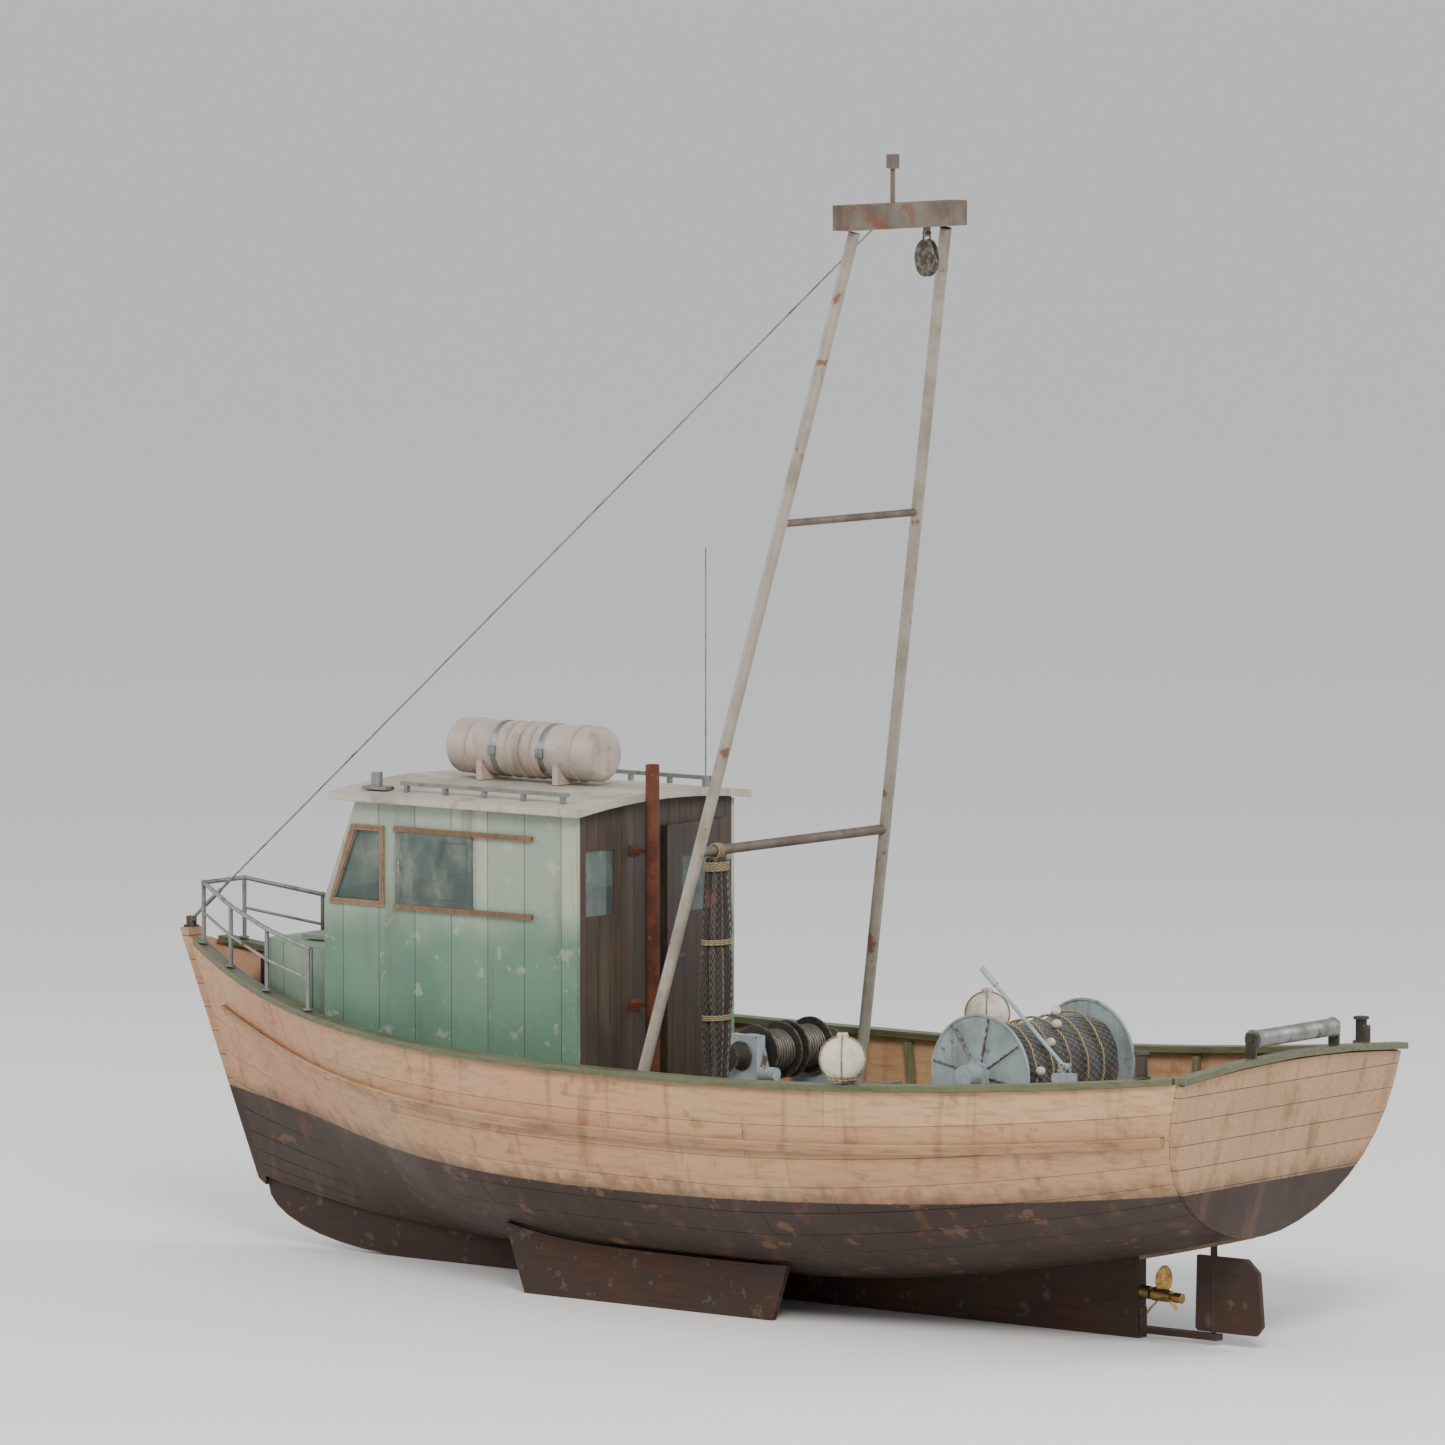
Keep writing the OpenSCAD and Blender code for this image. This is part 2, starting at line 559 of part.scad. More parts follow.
// ---- Trunk cabin and fore hatch
trunk_aft = house_fore + 4;
trunk_length = 960;
trunk_top = 2080;
trunk_thick = 24;
function trunk_half(t) = mix(600, 250, t * t);
module trunk_plan(inset) {
    a = [for (i = [0:8]) [trunk_aft + joint_gap + inset + (trunk_length - 2 * inset) * i / 8,
        trunk_half(i / 8) - inset]];
    polygon(concat(a, [for (i = [8:-1:0]) [a[i][0], -a[i][1]]]));
}
fore_hatch_x = trunk_aft + 150;
fore_hatch_size = 480;
module trunk_cabin() {
    color(pale_green) difference() {
        union() {
            translate([0, 0, foredeck_z + joint_gap]) linear_extrude(trunk_top - foredeck_z) difference() {
                trunk_plan(0);
                trunk_plan(trunk_thick);
            }
            translate([0, 0, trunk_top - trunk_thick]) linear_extrude(trunk_thick + joint_gap)
                trunk_plan(1);
        }
        block([fore_hatch_x, fore_hatch_x + fore_hatch_size], [-fore_hatch_size / 2, fore_hatch_size / 2],
            [trunk_top - 60, trunk_top + 60]);
    }
    // Lugs and pins of the hatch's hinges
    color(steel) for (y = hatch_hinge_ys) {
        axle(fore_hatch_hinge[0], y, fore_hatch_hinge[1], hatch_pin_r, 64);
        for (s = [-1, 1]) block([fore_hatch_hinge[0] - 12, fore_hatch_hinge[0] + 12],
            s > 0 ? [y + 22, y + 31] : [y - 31, y - 22], [trunk_top + joint_gap - 8,
                fore_hatch_hinge[1] + 10]);
    }
}
fore_hatch_hinge = [fore_hatch_x - 44, trunk_top + 24];
hatch_hinge_ys = [-150, 150];
hatch_pin_r = 6;
module fore_hatch() {
    lip = fore_hatch_size / 2 + 26;
    z = trunk_top + joint_gap + 2;
    color(pale_green) {
        block([fore_hatch_x - 26, fore_hatch_x + fore_hatch_size + 26], [-lip, lip], [z + 10, z + 38]);
        block([fore_hatch_x + 8, fore_hatch_x + fore_hatch_size - 8], [-lip + 34, lip - 34], [z - 22,
            z + 10.5]);
        for (y = hatch_hinge_ys) difference() {
            union() {
                block([fore_hatch_hinge[0], fore_hatch_x - 20], [y - 20, y + 20], [z + 14, z + 26]);
                axle(fore_hatch_hinge[0], y, fore_hatch_hinge[1], 12, 40);
            }
            axle(fore_hatch_hinge[0], y, fore_hatch_hinge[1], hatch_pin_r + running, 60);
        }
    }
}

// Bow rail of pipe, its feet on the cap rail
pulpit_us = [0.80, 0.86, 0.92, 0.972];
pulpit_rise = 420;
module pulpit() {
    foot = function (u) [skin(u, 1).x, skin(u, 1).y - 24, cap_top(u) + 11];
    head = function (u) skin(u, 1) + [0, -24, cap_thick + pulpit_rise];
    last = len(pulpit_us) - 1;
    color(steel) {
        both_sides() for (i = [0:last]) let (u = pulpit_us[i]) {
            translate(foot(u)) cylinder(h = 10, r = 34, $fn = facets);
            rod(foot(u) + [0, 0, 5], head(u), 15);
            translate(head(u)) sphere(r = 19, $fn = facets);
            if (i < last) rod(head(u), head(pulpit_us[i + 1]), 15);
            if (i < last) rod((foot(u) + head(u)) / 2,
                (foot(pulpit_us[i + 1]) + head(pulpit_us[i + 1])) / 2, 10);
        }
        let (p = head(pulpit_us[last])) axle(p.x, 0, p.z, 15, 2 * p.y);
    }
}

// ---- Wheelhouse
screen_lean = atan2(screen_rake, eaves_z - sill_z);
screen_height = (eaves_z - sill_z) / cos(screen_lean);
function roof_under(y) = eaves_z + roof_crown * (1 - pow(y / (house_half + overhang), 2));
side_windows = [[house_fore - 480, house_fore - 270], [house_fore - 1240, house_fore - 640]];
window_z = [sill_z + 10, eaves_z - 190];
window_depth = 6;
module side_outline() {
    polygon([[house_aft, deck_z + 1], [step_x - 1, deck_z + 1], [step_x - 1, foredeck_z + 1],
        [house_fore, foredeck_z + 1], [house_fore, sill_z],
        [house_fore - screen_rake, eaves_z], [house_aft, eaves_z]]);
}
// Opening of a side window; the forward one follows the windscreen's rake
function screen_x(z) = house_fore - screen_rake * (z - sill_z) / (eaves_z - sill_z);
module window_hole(w, grow = 0) {
    fore_low = w[1] + screen_x(window_z[0]) - screen_x(window_z[1]);
    polygon([[w[0] - grow, window_z[0] - grow],
        [(w == side_windows[0] ? fore_low : w[1]) + grow, window_z[0] - grow],
        [w[1] + grow, window_z[1] + grow], [w[0] - grow, window_z[1] + grow]]);
}
module wheelhouse_sides() {
    color(teal) both_sides() lengthwise(house_half - wall, wall) difference() {
        side_outline();
        for (w = side_windows) window_hole(w);
    }
}
// Frame of the raked windscreen: +Z up its slope, +X out through it
module on_screen() {
    translate([house_fore, 0, sill_z]) rotate([0, -screen_lean, 0]) children();
}
screen_panes = [[-710, -270], [-220, 220], [270, 710]];
screen_pane_z = [60, screen_height - 130];
inner_width = house_half - wall - 1;
screen_wall = wall / cos(screen_lean);
module wheelhouse_front() {
    color(teal) difference() {
        rotate([90, 0, 0]) translate([0, 0, -inner_width]) linear_extrude(2 * inner_width) polygon([
            [house_fore - wall, foredeck_z + 1], [house_fore, foredeck_z + 1], [house_fore, sill_z],
            [screen_x(eaves_z - 20), eaves_z - 20], [screen_x(eaves_z - 20) - screen_wall, eaves_z - 20],
            [house_fore - wall, sill_z - wall * tan(screen_lean / 2)]]);
        on_screen() for (p = screen_panes) block([-wall - 1, 1], p, screen_pane_z);
    }
}
door_y = [-90 - door_width, -90];
door_sill = deck_z + 100;
aft_window = [[430, 730], [sill_z, sill_z + 420]];
module wheelhouse_aft() {
    color(bare_wood) across(house_aft, wall) difference() {
        polygon(concat([[-inner_width, deck_z + 1], [inner_width, deck_z + 1]],
            [for (i = [8:-1:0]) let (y = mix(-inner_width, inner_width, i / 8)) [y, roof_under(y) - 1]]));
        translate([door_y[0], door_sill]) square([door_width, door_height]);
        translate([aft_window[0][0], aft_window[1][0]])
            square([aft_window[0][1] - aft_window[0][0], aft_window[1][1] - aft_window[1][0]]);
    }
}
roof_aft = house_aft - overhang;
roof_fore = house_fore - screen_rake + 2 * overhang;
module wheelhouse_roof() {
    edge = house_half + overhang;
    ys = [for (i = [0:12]) mix(-edge, edge, i / 12)];
    color(pale_green) across(roof_aft, roof_fore - roof_aft) polygon(concat(
        [for (y = ys) [y, roof_under(y)]],
        [for (i = [12:-1:0]) [ys[i], roof_under(ys[i]) + roof_thick]]));
}
trim = 34;
trim_out = 12;
module side_trim(w) {
    lengthwise(house_half + 1, trim_out) difference() {
        window_hole(w, trim);
        window_hole(w, -2);
    }
}
module window_frames() {
    color(bare_wood) {
        side_trim(side_windows[0]);
        mirror([0, 1, 0]) for (w = side_windows) side_trim(w);
        // Head and sill rails that the port sliding window runs in
        w = side_windows[1];
        for (z = [window_z[0] - trim - 6, window_z[1] + 6])
            block([w[0] - slide_travel - 40, w[1] + trim], [house_half + 1,
                house_half + 1 + 2 * trim_out], [z, z + trim]);
        on_screen() for (p = screen_panes) difference() {
            block([1, trim_out], [p[0] - 26, p[1] + 26], [screen_pane_z[0] - 26, screen_pane_z[1] + 26]);
            block([-1, trim_out + 1], [p[0] + 2, p[1] - 2], [screen_pane_z[0] + 2, screen_pane_z[1] - 2]);
        }
    }
}
module pane(w, y) {
    lengthwise(y, window_depth) window_hole(w, -1);
}
module window_glass() {
    color([0.2, 0.25, 0.25]) {
        pane(side_windows[0], house_half - 16);
        mirror([0, 1, 0]) for (w = side_windows) pane(w, house_half - 16);
        on_screen() for (p = screen_panes)
            block([-16, -16 + window_depth], [p[0] + 1, p[1] - 1], [screen_pane_z[0] + 1,
                screen_pane_z[1] - 1]);
        across(house_aft + 12, window_depth) translate([aft_window[0][0] + 1, aft_window[1][0] + 1])
            square([aft_window[0][1] - aft_window[0][0] - 2, aft_window[1][1] - aft_window[1][0] - 2]);
    }
}
slide_travel = 480;
module sliding_window() {
    w = side_windows[1];
    y = [house_half + 5, house_half + 5 + 14];
    color(bare_wood) difference() {
        block([w[0] - 20, w[1] + 20], y, [window_z[0] - 4, window_z[1] + 4]);
        block([w[0] + 24, w[1] - 24], [y[0] - 1, y[1] + 1], [window_z[0] + 40, window_z[1] - 40]);
    }
    color([0.2, 0.25, 0.25]) block([w[0] + 26, w[1] - 26], [y[0] + 4, y[0] + 9], [window_z[0] + 42,
        window_z[1] - 42]);
    color(steel) block([w[1] - 12, w[1] + 6], [y[1] + 0.5, y[1] + 20], [mean(window_z) - 50,
        mean(window_z) + 50]);
}
function mean(v) = (v[0] + v[1]) / 2;
door_thick = 36;
door_hinge = [house_aft - 24, door_y[0] - 14];
door_pin_r = 7;
hinge_zs = [door_sill + 220, door_sill + door_height - 260];
hinge_half = 45;
module door() {
    x1 = house_aft - 6;
    color(bare_wood) difference() {
        block([x1 - door_thick, x1], [door_y[0] + 8, door_y[1] + 26], [door_sill - 20,
            door_sill + door_height + 20]);
        block([x1 - door_thick - 1, x1 + 1], [door_y[0] + 150, door_y[1] - 130], [sill_z - 40,
            sill_z + 330]);
    }
    color([0.2, 0.25, 0.25]) block([x1 - 20, x1 - 14], [door_y[0] + 151, door_y[1] - 131], [sill_z - 39,
        sill_z + 329]);
    // Knuckle plates of the hinges, and the latch handle
    color(steel) {
        for (z = hinge_zs) difference() {
            union() {
                translate([door_hinge[0], door_hinge[1], z - hinge_half]) cylinder(h = hinge_half - 1,
                    r = 12, $fn = facets);
                block([door_hinge[0] - 4, door_hinge[0] + 4], [door_hinge[1], door_y[0] + 8.5],
                    [z - hinge_half, z - 1]);
            }
            translate([door_hinge[0], door_hinge[1], z - 100])
                cylinder(h = 200, r = door_pin_r + running, $fn = facets);
        }
        block([x1 - door_thick - 46, x1 - door_thick - 34], [door_y[1] - 110, door_y[1] + 2],
            [door_sill + 900, door_sill + 922]);
        block([x1 - door_thick - 35, x1 - door_thick - 0.5], [door_y[1] - 20, door_y[1] + 2],
            [door_sill + 900, door_sill + 922]);
    }
}
module door_hinges() {
    color(steel) for (z = hinge_zs) {
        translate([door_hinge[0], door_hinge[1], z + 1]) cylinder(h = hinge_half - 1, r = 12, $fn = facets);
        translate([door_hinge[0], door_hinge[1], z - hinge_half]) cylinder(h = hinge_half + 2,
            r = door_pin_r, $fn = facets);
        block([door_hinge[0] + 2, house_aft - 1], [door_hinge[1] - 12, door_hinge[1] - 2], [z + 1,
            z + hinge_half]);
        block([house_aft - 7, house_aft - 1], [door_hinge[1] - 70, door_hinge[1] - 2], [z + 1,
            z + hinge_half]);
    }
}

// ---- Inside the wheelhouse
helm_y = 380;
console_top = deck_z + 1010;
wheel_r = 210;
wheel_x = step_x - 230;
wheel_z = deck_z + 860;
module helm_console() {
    x = [wheel_x + 80, house_fore - wall - 4];
    y = [helm_y - 240, helm_y + 300];
    color(bare_wood) difference() {
        union() {
            block([x[0], x[1]], y, [foredeck_z + 2, console_top]);
            block([x[0], step_x - 4], y, [deck_z + 1, foredeck_z + 3]);
            translate([wheel_x + 42, helm_y, wheel_z]) rotate([0, 90, 0]) cylinder(h = 38.5, r = 45,
                $fn = facets);
        }
        block([x[0] + 20, x[1] - 20], [y[0] + 20, y[1] - 20], [foredeck_z + 22, console_top - 20]);
        block([x[0] + 20, step_x - 24], [y[0] + 20, y[1] - 20], [deck_z + 21, foredeck_z + 23]);
        translate([wheel_x, helm_y, wheel_z]) rotate([0, 90, 0]) cylinder(h = 110, r = 12 + running,
            $fn = facets);
    }
    // Cheeks and pin of the throttle
    color(steel) {
        for (dy = [-26, 18]) block([throttle_pin.x - 22, throttle_pin.x + 22],
            [throttle_pin.y + dy, throttle_pin.y + dy + 8], [console_top + 0.5, throttle_pin.z + 20]);
        axle(throttle_pin.x, throttle_pin.y, throttle_pin.z, 6, 37);
    }
}
module steering_wheel() {
    color(bare_wood) translate([wheel_x, helm_y, wheel_z]) rotate([0, 90, 0]) {
        rotate_extrude($fn = 64) translate([wheel_r, 0]) circle(r = 14, $fn = 24);
        translate([0, 0, -20]) cylinder(h = 40, r = 42, $fn = facets);
        for (k = [0:5]) rotate([0, 0, 60 * k]) rotate([0, 90, 0])
            cylinder(h = wheel_r + 95, r = 10, $fn = 24);
        cylinder(h = 78, r = 12, $fn = facets);
    }
}
throttle_pin = [wheel_x + 160, helm_y + 200, console_top + 30];
module throttle_lever() {
    color(steel) difference() {
        union() {
            rod(throttle_pin + [0, 0, 10], throttle_pin + [0, 0, 150], 7);
            translate(throttle_pin + [0, 0, 150]) sphere(r = 20, $fn = 32);
            axle(throttle_pin.x, throttle_pin.y, throttle_pin.z, 16, 30);
        }
        axle(throttle_pin.x, throttle_pin.y, throttle_pin.z, 6 + running, 40);
    }
}

// ---- On the roof and the aft bulkhead
module roof_fittings() {
    y = house_half - 60;
    z = roof_under(y) + roof_thick;
    color(bare_wood) both_sides() {
        block([roof_aft + 200, roof_fore - 500], [y - 16, y + 16], [z + 45, z + 70]);
        for (k = [0:4]) let (x = mix(roof_aft + 230, roof_fore - 560, k / 4))
            block([x, x + 30], [y - 14, y + 14], [z + 4, z + 45.5]);
    }
    // Side lights on their screens: red to port, green to starboard
    zl = roof_under(y - 45) + roof_thick + 2;
    for (side = [-1, 1]) color(side > 0 ? [0.7, 0.1, 0.1] : [0.1, 0.5, 0.2]) {
        block([roof_fore - 400, roof_fore - 200], [side * y - 45, side * y + 45], [zl, zl + 20]);
        translate([roof_fore - 290, side * y, zl + 19.5]) cylinder(h = 90, r = 38, $fn = facets);
    }
    // Whip aerial
    color(steel) translate([roof_aft + 160, -house_half + 200,
        roof_under(house_half - 200) + roof_thick + 4]) {
        cylinder(h = 60, r = 24, $fn = facets);
        translate([0, 0, 59.5]) cylinder(h = 1500, r = 5, $fn = facets);
    }
}
raft_r = 180;
raft_length = 1240;
raft_x = mean([roof_aft, roof_fore]) + 60;
module liferaft() {
    z = roof_under(0) + roof_thick + raft_r + 26;
    color([0.74, 0.69, 0.66]) {
        translate([raft_x, 0, z]) rotate([0, 90, 0]) rotate_extrude($fn = 64) polygon(concat(
            [for (a = [-90:15:0]) [max(0, raft_r - 60 + 60 * cos(a)), -raft_length / 2 + 60 + 60 * sin(a)]],
            [for (a = [0:15:90]) [max(0, raft_r - 60 + 60 * cos(a)), raft_length / 2 - 60 + 60 * sin(a)]],
            [[0, raft_length / 2], [0, -raft_length / 2]]));
        for (dx = [-320, 320]) difference() {
            block([raft_x + dx - 25, raft_x + dx + 25], [-170, 170],
                [roof_under(0) + roof_thick + 3, z - 70]);
            axle_along(raft_x, z, raft_r + 1, raft_length);
        }
    }
}
module axle_along(x, z, r, length) {
    translate([x, 0, z]) rotate([0, 90, 0]) cylinder(h = length, r = r, center = true, $fn = 64);
}
stack_r = 45;
stack_pos = [house_aft - 150, 230];
module exhaust_stack() {
    top = roof_under(0) + roof_thick + 190;
    color([0.3, 0.22, 0.18]) difference() {
        union() {
            translate([stack_pos.x, stack_pos.y, deck_z + 1]) cylinder(h = top - deck_z, r = stack_r,
                $fn = facets);
            translate([stack_pos.x, stack_pos.y, deck_z + 1]) cylinder(h = 14, r = 95, $fn = facets);
            for (z = [deck_z + 700, deck_z + 1700]) {
                block([stack_pos.x, house_aft - 1], [stack_pos.y - 14, stack_pos.y + 14], [z, z + 30]);
                block([house_aft - 9, house_aft - 1], [stack_pos.y - 50, stack_pos.y + 50], [z - 20,
                    z + 50]);
            }
        }
        translate([stack_pos.x, stack_pos.y, deck_z + 30]) cylinder(h = top, r = stack_r - 5, $fn = facets);
    }
}

// ---- Machinery, laid out along the propeller shaft
stern_tube_end = 1500;
// The coupling stays under the wheelhouse, so the shaft takes up a change of hull length
coupling_x = 140;
shaft_end = coupling_x - prop_x;
gearbox_length = 300;
engine_length = 900;
engine_half = 210;
module engine() {
    start = shaft_end + 60 + gearbox_length;
    color([0.30, 0.42, 0.36]) along_shaft(start) {
        block([0, engine_length], [-engine_half, engine_half], [-140, 190]);
        block([60, engine_length - 60], [-engine_half + 50, engine_half - 50], [-170, -139]);
        block([40, engine_length - 60], [-130, 130], [189, 300]);
        for (k = [0:3]) translate([140 + 200 * k, 0, 299]) cylinder(h = 40, r = 48, $fn = facets);
        translate([engine_length - 1, 0, 0]) rotate([0, 90, 0]) cylinder(h = 46, r = 110, $fn = facets);
        for (x = [100, engine_length - 160]) both_sides()
            block([x, x + 90], [engine_half - 1, engine_half + 90], [-70, -50]);
    }
}
module gearbox() {
    color([0.30, 0.42, 0.36]) along_shaft(shaft_end + 50) {
        translate([8, 0, 0]) rotate([0, 90, 0]) cylinder(h = 14, r = 70, $fn = facets);
        block([22, gearbox_length], [-130, 130], [-120, 130]);
        translate([gearbox_length - 60, 0, 0]) rotate([0, 90, 0]) cylinder(h = 62, r = 185, $fn = facets);
    }
}
module engine_bearers() {
    x = prop_x + shaft_end * cos(shaft_rake);
    both_sides() lengthwise(engine_half + 18, 70) polygon([
        [x + 340, floor_top + joint_gap], [x + 1420, floor_top + joint_gap],
        [x + 1420, shaft_z(x + 1420) - 76], [x + 340, shaft_z(x + 340) - 76]]);
}
module fuel_tank() {
    color(steel) {
        block([house_aft + 100, house_aft + 900], [480, 820], [680, under_deck - beam_depth - 20]);
        translate([house_aft + 250, 680, under_deck - beam_depth - 20.5]) cylinder(h = 15, r = 40,
            $fn = facets);
    }
}
module propeller_shaft() {
    color(steel) {
        shaft_bar(-115, shaft_end - 30, shaft_r);
        // Coupling flange, bolted to the gearbox's
        shaft_bar(shaft_end - 30, shaft_end - 10, 70);
        shaft_bar(shaft_end - 90, shaft_end - 29, 38);
        for (k = [0:5]) along_shaft() rotate([60 * k, 0, 0]) translate([shaft_end - 44, 52, 0])
            rotate([0, 90, 0]) cylinder(h = 44, r = 7, $fn = facets);
        shaft_bar(-150, -90, 32);
    }
}
prop_hub_r = 45;
module propeller() {
    color(bronze) along_shaft() difference() {
        union() {
            translate([-65, 0, 0]) rotate([0, 90, 0]) cylinder(h = 130, r1 = prop_hub_r - 8,
                r2 = prop_hub_r, $fn = facets);
            for (k = [0:blades - 1]) rotate([360 / blades * k, 0, 0]) propeller_blade();
        }
        translate([-150, 0, 0]) rotate([0, 90, 0]) cylinder(h = 300, r = shaft_r + 0.1, $fn = facets);
    }
}
// A blade whose pitch angle falls from root to tip
module propeller_blade() {
    steps = 8;
    loft([for (i = [0:steps]) let (t = i / steps, r = mix(prop_hub_r - 12, prop_r, t),
        pitch = mix(58, 24, t), chord = 2 * 62 * sqrt(max(0.03, 1 - pow(2 * t - 0.9, 2) * 0.75)) * 0.9,
        thick = mix(11, 4, t))
        [for (c = [[-0.5, 0.15], [0, 1], [0.5, 0.15], [0.5, -0.15], [0, -1], [-0.5, -0.15]])
            let (a = c[0] * chord, b = c[1] * thick / 2)
            [a * sin(pitch) + b * cos(pitch), a * cos(pitch) - b * sin(pitch), r]]]);
}
module stern_tube() {
    color(bronze) difference() {
        union() {
            shaft_bar(90, stern_tube_end, tube_r - 0.1);
            shaft_bar(90, 156, tube_r + 12);
        }
        shaft_bar(50, stern_tube_end + 50, shaft_r + running);
    }
}
rudder_bottom = heel_z + shoe_thick + 8;
rudder_top = 640;
tiller_z = deck_z - deck_plank - beam_depth - 70;
module rudder() {
    color(dark_paint) {
        lengthwise(-16, 32) polygon([[stock_x + 130, rudder_bottom + 20], [stock_x + 110, rudder_bottom],
            [stock_x - 330, rudder_bottom], [stock_x - 380, rudder_bottom + 60],
            [stock_x - 350, rudder_top - 160], [stock_x - 260, rudder_top - 80],
            [stock_x + 120, rudder_top - 80]]);
        translate([stock_x, 0, rudder_bottom - 1]) cylinder(h = tiller_z + 100 - rudder_bottom,
            r = stock_r, $fn = facets);
        translate([stock_x, 0, heel_z]) cylinder(h = rudder_bottom - heel_z, r = 14, $fn = facets);
    }
}
horn_top = rabbet_z(station_at(stock_x, rabbet_z(0.05))) + plank + 8 + hog_thick;
module rudder_tube() {
    color(bronze) difference() {
        union() {
            translate([stock_x, 0, rudder_top]) cylinder(h = tiller_z - rudder_top - 40, r = stock_r + 9,
                $fn = facets);
            translate([stock_x, 0, horn_top + 22]) cylinder(h = 14, r = stock_r + 40, $fn = facets);
        }
        translate([stock_x, 0, 0]) cylinder(h = deck_z, r = stock_r + running, $fn = facets);
    }
}
module tiller_arm() {
    color(steel) difference() {
        union() {
            translate([stock_x, 0, tiller_z]) cylinder(h = 60, r = 46, $fn = facets);
            block([stock_x + 30, stock_x + 240], [-22, 22], [tiller_z + 14, tiller_z + 46]);
            translate([stock_x + 240, 0, tiller_z + 14]) cylinder(h = 32, r = 30, $fn = facets);
        }
        translate([stock_x, 0, tiller_z - 1]) cylinder(h = 70, r = stock_r + 0.1, $fn = facets);
        translate([stock_x + 240, 0, tiller_z]) cylinder(h = 70, r = 10, $fn = facets);
    }
}

// ---- Gantry
gantry_foot_half = inner_half(gantry_foot_x, deck_z + 200) - 190;
foot_point = [gantry_foot_x, gantry_foot_half, deck_z + 20];
head_point = [gantry_head_x, gantry_head_half, gantry_head_z];
function leg_at(z) = let (t = (z - foot_point.z) / (head_point.z - foot_point.z)) foot_point + t *
    (head_point - foot_point);
head_beam = [130, 160];
module gantry_legs() {
    foot_pad = 26;
    color([0.52, 0.50, 0.46]) both_sides() {
        rod(leg_at(deck_z + foot_pad / 2 + 1), head_point, leg_r, 90);
        translate([gantry_foot_x - 120, gantry_foot_half - 110, deck_z + 1]) cube([240, 220, foot_pad]);
        for (dx = [-90, 90], dy = [-80, 80])
            translate([gantry_foot_x + dx, gantry_foot_half + dy, deck_z + 12]) cylinder(h = 32, r = 13,
                $fn = 6);
    }
}
mid_beam_z = 5050;
low_beam_z = 2960;
block_y = -280;
module gantry_beams() {
    color([0.38, 0.36, 0.32]) {
        // Head beam over the legs
        block([gantry_head_x - head_beam[0] / 2, gantry_head_x + head_beam[0] / 2],
            [-gantry_head_half - 140, gantry_head_half + 140], [gantry_head_z + 14,
                gantry_head_z + 14 + head_beam[1]]);
        for (z = [mid_beam_z, low_beam_z]) let (p = leg_at(z)) difference() {
            axle(p.x, 0, z, z == low_beam_z ? 32 : 24, 2 * p.y);
            both_sides() rod(foot_point, head_point, leg_r + 1);
        }
        stay_cheeks(stay_high, gantry_head_x + head_beam[0] / 2 - 1, stay_high.x + 24,
            stay_high.z - 24, stay_high.z + 24);
        // Mast light on its post
        translate([gantry_head_x, 80, gantry_head_z + 13.5 + head_beam[1]]) {
            cylinder(h = 220, r = 16, $fn = facets);
            translate([0, 0, 219]) cylinder(h = 90, r = 42, $fn = facets);
        }
        // Eye that the hauling block hangs from
        difference() {
            block([gantry_head_x - 8, gantry_head_x + 8], [block_y - 30, block_y + 30],
                [gantry_head_z - 50, gantry_head_z + 15]);
            translate([gantry_head_x, block_y, gantry_head_z - 24]) rotate([0, 90, 0]) cylinder(h = 40,
                r = 13, center = true, $fn = facets);
        }
    }
}
stay_low = [head_fore + 40, 0, sheer_z(1) + stem_proud + 50];
stay_high = [gantry_head_x + head_beam[0] / 2 + 45, 0, gantry_head_z + 14 + head_beam[1] / 2];
stay_pin_r = 9;
// The stay's ends are eyes on the pins of the stem head and the head beam
module forestay() {
    dir = (stay_high - stay_low) / norm(stay_high - stay_low);
    color(steel) difference() {
        union() {
            rod(stay_low + 30 * dir, stay_high - 30 * dir, 6);
            rod(stay_low + 24 * dir, stay_low + 120 * dir, 12);
            rod(stay_low + 120 * dir, stay_low + 340 * dir, 15);
            rod(stay_low + 340 * dir, stay_low + 440 * dir, 10);
            rod(stay_high - 120 * dir, stay_high - 24 * dir, 12);
            for (p = [stay_low, stay_high]) axle(p.x, 0, p.z, 26, 20);
        }
        for (p = [stay_low, stay_high]) axle(p.x, 0, p.z, stay_pin_r + joint_gap / 4, 60);
    }
}
module stay_cheeks(p, x0, x1, z0, z1) {
    for (s = [-1, 1]) block([x0, x1], s > 0 ? [12, 20] : [-20, -12], [z0, z1]);
    axle(p.x, 0, p.z, stay_pin_r, 39);
}
sheave_r = 75;
block_pin = [gantry_head_x, block_y, gantry_head_z - 24];
sheave_z = block_pin.z - 190;
module hauling_block() {
    color([0.25, 0.22, 0.18]) {
        for (s = [-1, 1]) difference() {
            translate([block_pin.x, block_y + s * 24, 0]) rotate([90, 0, 0]) linear_extrude(8,
                center = true)
                polygon([for (a = [0:15:345]) [78 * cos(a), sheave_z + 30 + 120 * sin(a)]]);
            axle(block_pin.x, block_y, sheave_z, 10, 200);
        }
        axle(block_pin.x, block_y, sheave_z, 9.9, 66);
        // Crown of the block and the shackle that goes through the eye
        block([block_pin.x - 34, block_pin.x + 34], [block_y - 21, block_y + 21], [sheave_z + 100,
            sheave_z + 138]);
        rod([block_pin.x - 26, block_y, sheave_z + 137], [block_pin.x - 26, block_y, block_pin.z], 7);
        rod([block_pin.x + 26, block_y, sheave_z + 137], [block_pin.x + 26, block_y, block_pin.z], 7);
        translate([block_pin.x - 30, block_y, block_pin.z]) rotate([0, 90, 0]) cylinder(h = 60, r = 8,
            $fn = facets);
    }
}
